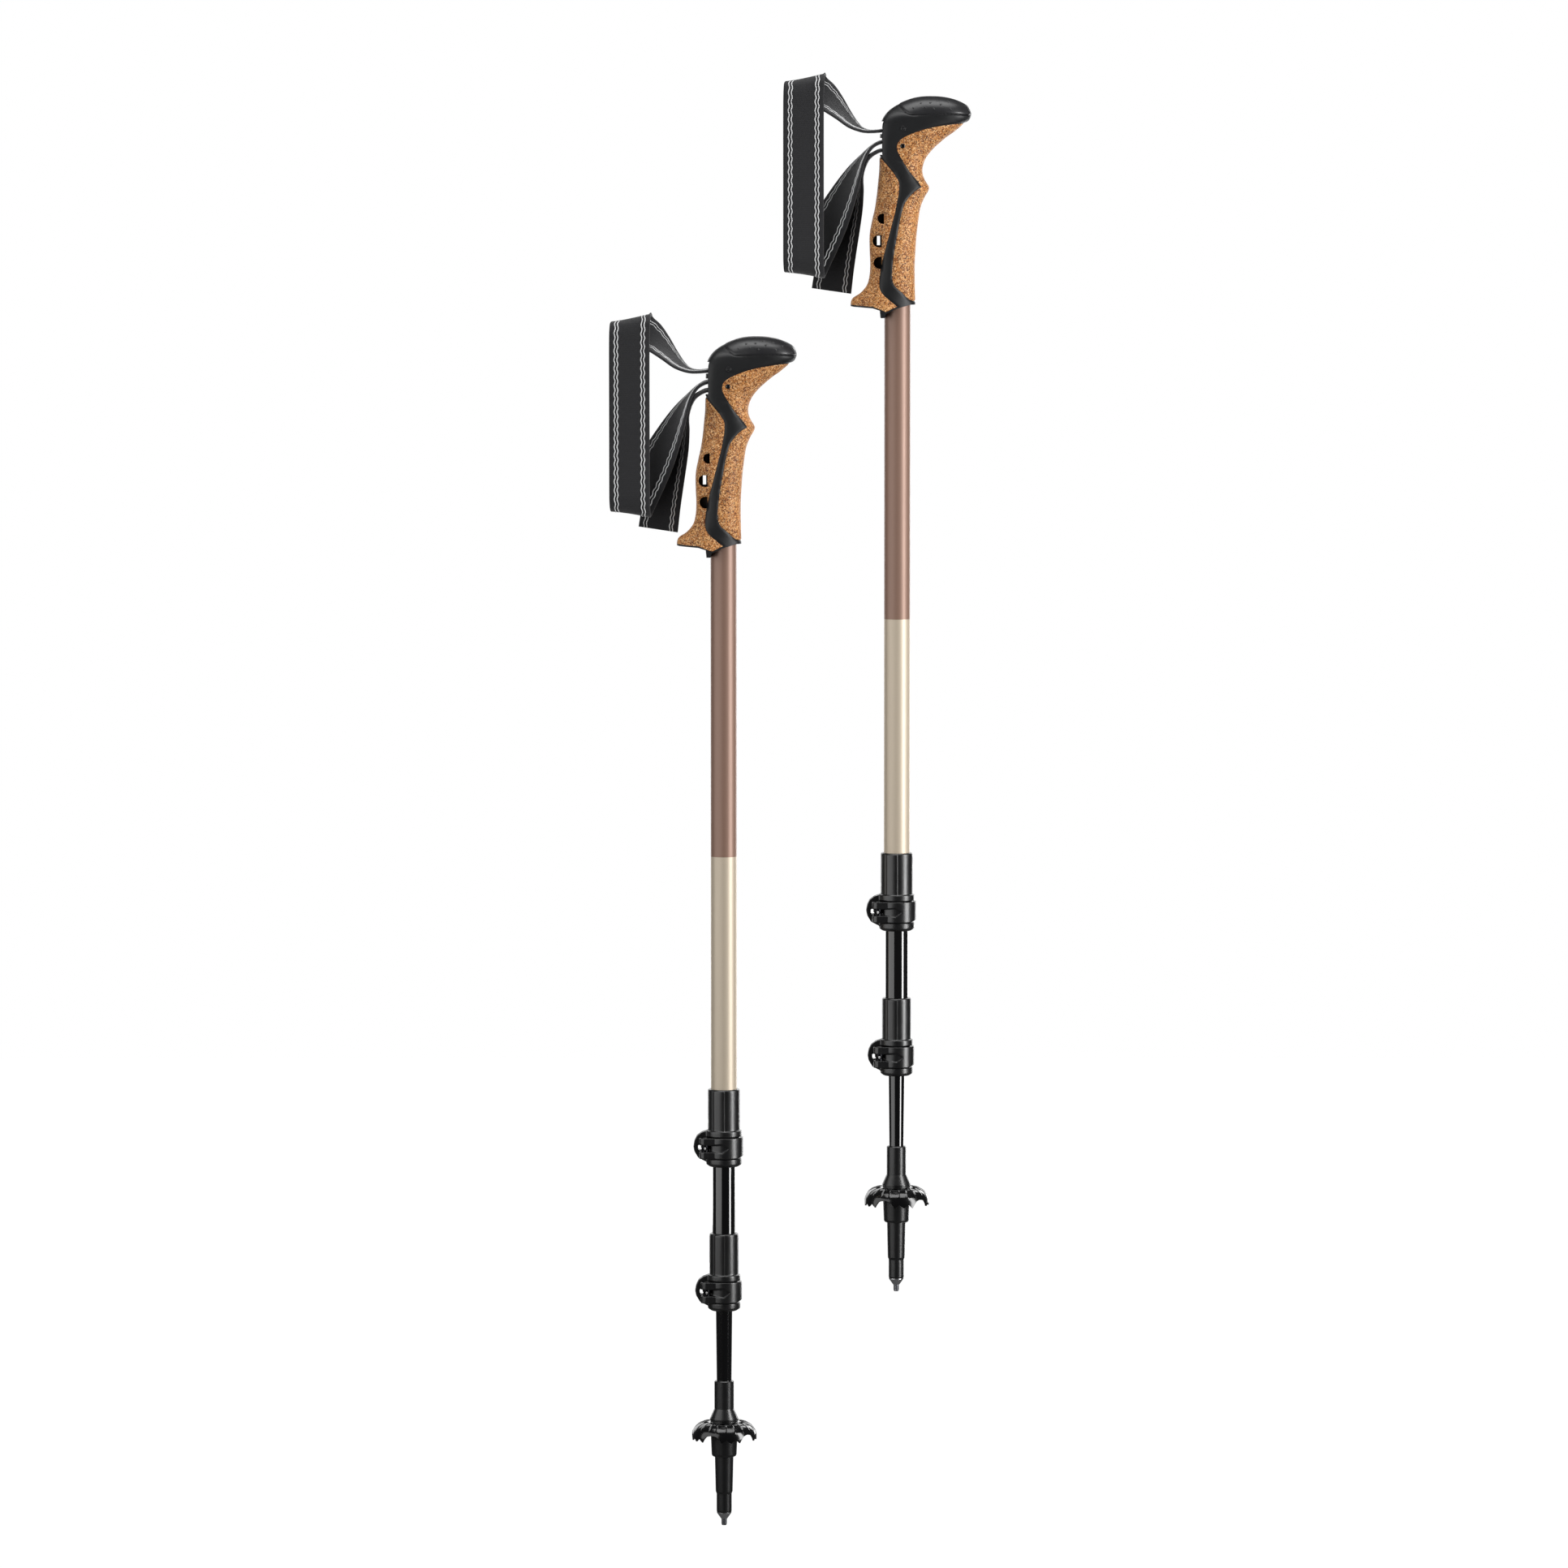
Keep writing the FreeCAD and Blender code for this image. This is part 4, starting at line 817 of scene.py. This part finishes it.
def ribbonPath(values):
    # the stations give position and width together, so one six-number line keeps them in step
    rows = [np.array(s[0] + tuple(s[1]), float) for s in values["stations"]]
    line = smoothLine(rows, values["step"])
    gaps = np.concatenate([[0], np.cumsum(np.linalg.norm(np.diff(line[:, :3], axis=0), axis=1))])
    even = np.linspace(0, gaps[-1], int(gaps[-1] / values["step"]))
    line = np.stack([np.interp(even, gaps, line[:, c]) for c in range(6)], axis=1)
    along = np.gradient(line[:, :3], axis=0)
    along /= np.linalg.norm(along, axis=1, keepdims=True)
    wide = line[:, 3:] - along * np.sum(line[:, 3:] * along, axis=1, keepdims=True)
    wide /= np.linalg.norm(wide, axis=1, keepdims=True)
    return line[:, :3], wide, np.cross(wide, along), even


def ribbonSection(values):
    # (across, out) points round the webbing, with round edges
    flat, radius = values["width"] / 2 - values["thick"] / 2, values["thick"] / 2
    face = [(u, radius) for u in np.linspace(-flat, flat, values["rows"])]
    turn = np.linspace(math.pi / 2, -math.pi / 2, values["edgeSteps"] + 2)[1:-1]
    edge = [(flat + radius * math.cos(a), radius * math.sin(a)) for a in turn]
    return np.array(face + edge + [(-u, -v) for u, v in face + edge])


def ribbonMesh(values):
    centres, wide, out, even = ribbonPath(values)
    section = ribbonSection(values)
    around = len(section)
    spread = wide[:, None] * section[None, :, 0:1] + out[:, None] * section[None, :, 1:2]
    points = (centres[:, None] + spread) * mm
    vertices = list(points.reshape(-1, 3)) + [points[0].mean(axis=0), points[-1].mean(axis=0)]
    mesh = meshFrom("webbing", vertices, tubeFaces(len(centres), around))
    cloth = np.zeros((len(vertices), 2))
    cloth[:-2, 0] = np.tile(section[:, 0], len(centres)) * mm
    cloth[:-2, 1] = np.repeat(even, around) * mm
    layer = mesh.uv_layers.new(name="cloth")
    corner = np.zeros(len(mesh.loops), dtype=int)
    mesh.loops.foreach_get("vertex_index", corner)
    layer.data.foreach_set("uv", cloth[corner].ravel())
    return outward(mesh), even[-1]


def seamLines(values):
    # one line of edges for each row of stitches on each face, carrying the direction that it waves in
    centres, wide, out, even = ribbonPath(values)
    vertices, edges, sideways = [], [], []
    for face in (-1, 1):
        for across in values["seams"]:
            lift = face * (values["thick"] / 2 - values["threadSunk"])
            first = len(vertices)
            vertices += list((centres + wide * across + out * lift) * mm)
            edges += [(k, k + 1) for k in range(first, len(vertices) - 1)]
            sideways += list(wide)
    mesh = bpy.data.meshes.new("seamLines")
    mesh.from_pydata([tuple(v) for v in vertices], edges, [])
    travel = np.tile(even, 2 * len(values["seams"])) * mm
    for name, kind, key, numbers in (("sideways", "FLOAT_VECTOR", "vector", np.array(sideways).ravel()),
                                     ("travel", "FLOAT", "value", travel)):
        mesh.attributes.new(name, kind, "POINT").data.foreach_set(key, numbers)
    return mesh


def stitchNodes():
    # lines become threads that snake from side to side
    sizes = {"Wave period": 0.006, "Wave width": 0.0004, "Thread radius": 0.0004}
    group, given = startGroup("snakingThread", "Lines", sizes, "Thread", "Stitches")
    curve = addNode(group, "GeometryNodeMeshToCurve", {"Mesh": given["Lines"]})
    even = addNode(group, "GeometryNodeResampleCurve", {"Curve": curve.outputs["Curve"], "Length": 0.0006},
                   mode="LENGTH")
    travel = addNode(group, "GeometryNodeInputNamedAttribute", {"Name": "travel"}, data_type="FLOAT")
    turns = addNode(group, "ShaderNodeMath", {0: travel.outputs["Attribute"], 1: given["Wave period"]},
                    operation="DIVIDE")
    angle = addNode(group, "ShaderNodeMath", {0: turns.outputs[0], 1: 2 * math.pi}, operation="MULTIPLY")
    wave = addNode(group, "ShaderNodeMath", {0: angle.outputs[0]}, operation="SINE")
    reach = addNode(group, "ShaderNodeMath", {0: wave.outputs[0], 1: given["Wave width"]},
                    operation="MULTIPLY")
    sideways = addNode(group, "GeometryNodeInputNamedAttribute", {"Name": "sideways"},
                       data_type="FLOAT_VECTOR")
    shift = addNode(group, "ShaderNodeVectorMath", {0: sideways.outputs["Attribute"],
                                                    "Scale": reach.outputs[0]}, operation="SCALE")
    waved = addNode(group, "GeometryNodeSetPosition", {"Geometry": even.outputs["Curve"],
                                                       "Offset": shift.outputs["Vector"]})
    section = addNode(group, "GeometryNodeCurvePrimitiveCircle", {"Resolution": 6,
                                                                  "Radius": given["Thread radius"]})
    tube = addNode(group, "GeometryNodeCurveToMesh", {"Curve": waved.outputs["Geometry"], "Fill Caps": True,
                                                      "Profile Curve": section.outputs["Curve"]})
    real = addNode(group, "GeometryNodeRealizeInstances", {"Geometry": tube.outputs["Mesh"]})
    painted = addNode(group, "GeometryNodeSetMaterial", {"Geometry": real.outputs["Geometry"],
                                                         "Material": given["Thread"]})
    addNode(group, "NodeGroupOutput", {"Stitches": painted.outputs["Geometry"]})
    return group


webbingMesh, webbingLength = ribbonMesh(strap)
stitchMesh = grown(seamLines(strap), stitchNodes(), **{
    "Wave period": strap["wavePeriod"] * mm, "Wave width": strap["waveWidth"] * mm,
    "Thread radius": strap["threadRadius"] * mm, "Thread": finish["thread"]})
for side in poleBase:
    body = side + "_upper_section"
    stitches = finishPiece(side + "_strap_stitching", outward(stitchMesh), finish["thread"], body, [], 80)
    webbing = finishPiece(side + "_strap_webbing", webbingMesh, finish["webbing"], body,
                          [side + "_wrist_strap"], 80)
print("strap made, mm long:", round(webbingLength))


# basket
basket = {
    # outer profile of the skirt from the hub to the rim (radius, height)
    "profile": [(8.2, 72.6), (10.0, 72.95), (12.4, 73.0), (14.8, 72.7), (17.2, 71.8), (19.4, 70.3),
                (21.2, 68.3), (22.25, 66.0), (22.6, 63.6), (22.65, 60.3)], "columns": 720, "thick": 1.25,
    # angles in degrees, heights of the teeth and arches, and the ribs beside each window
    "lobes": 5, "firstLobe": -77.0, "toothStep": 17.0, "tip": 60.9, "valley": 63.5, "arch": 65.4,
    "archRise": 0.9, "window": (10.6, 13.9), "windowHalf": 6.5, "ribOffset": 9.5, "ribHeight": 0.35,
    "ribWidth": 1.3, "ribInner": 10.5, "ribOuter": 22.0}


def rimHeight(values, angle):
    # lowest point of the skirt at an angle from its lobe's middle: three teeth, then the arch between lobes
    step, reach = values["toothStep"], abs(angle)
    outer = 1.5 * step
    if reach <= step:
        near = abs(reach - step) if reach > step / 2 else reach
        return values["tip"] + (values["valley"] - values["tip"]) * near / (step / 2)
    if reach <= outer:
        return values["tip"] + (values["arch"] - values["tip"]) * ((reach - step) / (outer - step)) ** 0.8
    half = 180 / values["lobes"]
    return values["arch"] + values["archRise"] * math.sin(math.pi / 2 * (reach - outer) / (half - outer))


def basketMesh(values):
    profile = smoothLine(values["profile"], 0.8)
    lobe = 360 / values["lobes"]
    middle, reach = lobe / 4, values["window"]
    vertices, grid = [], []
    rowCount = len(profile)
    for k in range(values["columns"]):
        turn = 360 * k / values["columns"]
        angle = (turn - values["firstLobe"] + lobe / 2) % lobe - lobe / 2
        low = rimHeight(values, angle)
        last = np.argmax(profile[:, 1] < low)
        share = (profile[last - 1, 1] - low) / (profile[last - 1, 1] - profile[last, 1])
        line = np.vstack([profile[:last], profile[last - 1] + share * (profile[last] - profile[last - 1])])
        place = np.linspace(0, len(line) - 1, rowCount)
        radius = np.interp(place, range(len(line)), line[:, 0])
        height = np.interp(place, range(len(line)), line[:, 1])
        rib = sum(math.exp(-((abs(angle) - middle + side * values["ribOffset"]) / values["ribWidth"]) ** 2)
                  for side in (-1, 1))
        fade = (np.clip((radius - values["ribInner"]) / 2, 0, 1)
                * np.clip((values["ribOuter"] - radius) / 2, 0, 1))
        height = height + values["ribHeight"] * rib * fade
        grid.append((angle, radius))
        c, d = math.cos(math.radians(turn)), math.sin(math.radians(turn))
        vertices += [(r * c * mm, r * d * mm, z * mm) for r, z in zip(radius, height)]
    faces = []
    for k in range(values["columns"]):
        n = (k + 1) % values["columns"]
        angle, radius = grid[k]
        for i in range(rowCount - 1):
            inWindow = abs(abs(angle) - middle) < values["windowHalf"] and reach[0] < radius[i] < reach[1]
            if not inWindow:
                faces.append([j * rowCount + i + d for j, d in ((k, 0), (k, 1), (n, 1), (n, 0))])
    return thickened(outwardUp(meshFrom("skirt", vertices, faces)), values["thick"])


def outwardUp(mesh):
    # an open sheet has no inside, so turn its faces to the sky by hand
    if sum(p.normal.z * p.area for p in mesh.polygons) < 0:
        mesh.flip_normals()
    return mesh


def thickened(mesh, thick):
    def add(modifiers):
        wall = modifiers.new("wall", "SOLIDIFY")
        wall.thickness, wall.offset, wall.use_even_offset = thick * mm, -1, False
    return evaluated(mesh, add)


skirtMesh = basketMesh(basket)
for side in poleBase:
    finishPiece(side + "_basket_skirt", skirtMesh, finish["basket"], side + "_basket",
                [side + "_basket_disc"], 38)
print("basket made", len(skirtMesh.polygons))


# clamps and hub: the frame's shapes with the soft edges of a moulding
moulded = {
    # node: (voxel in mm, smoothing rounds, finish, body)
    "upper_clamp_collar": (0.40, 7, "nylon", "_upper_section"),
    "upper_clamp_lever": (0.32, 6, "nylon", "_upper_lever"),
    "lower_clamp_collar": (0.40, 7, "nylon", "_middle_section"),
    "lower_clamp_lever": (0.32, 6, "nylon", "_lower_lever"), "basket_hub": (0.34, 5, "tip", "_basket")}


def mouldedMesh(node, voxel, rounds):
    mesh = node.data.copy()
    mesh.transform(node.matrix_world)
    mesh.transform(Matrix.Translation(-poleBase["left"]))
    work = bmesh.new()
    work.from_mesh(mesh)
    bmesh.ops.remove_doubles(work, verts=work.verts, dist=0.002 * mm)
    work.to_mesh(mesh)
    work.free()

    def add(modifiers):
        remesh = modifiers.new("skin", "REMESH")
        remesh.mode, remesh.voxel_size = "VOXEL", voxel * mm
        soft = modifiers.new("soft", "SMOOTH")
        soft.factor, soft.iterations = 0.5, rounds
    return evaluated(mesh, add)


for name, (voxel, rounds, key, body) in moulded.items():
    skin = mouldedMesh(nodes["left_" + name], voxel, rounds)
    for side in poleBase:
        finishPiece(side + "_" + name + "_skin", skin, finish[key], side + body, [side + "_" + name], 50)
    print(name, "moulded", len(skin.polygons))
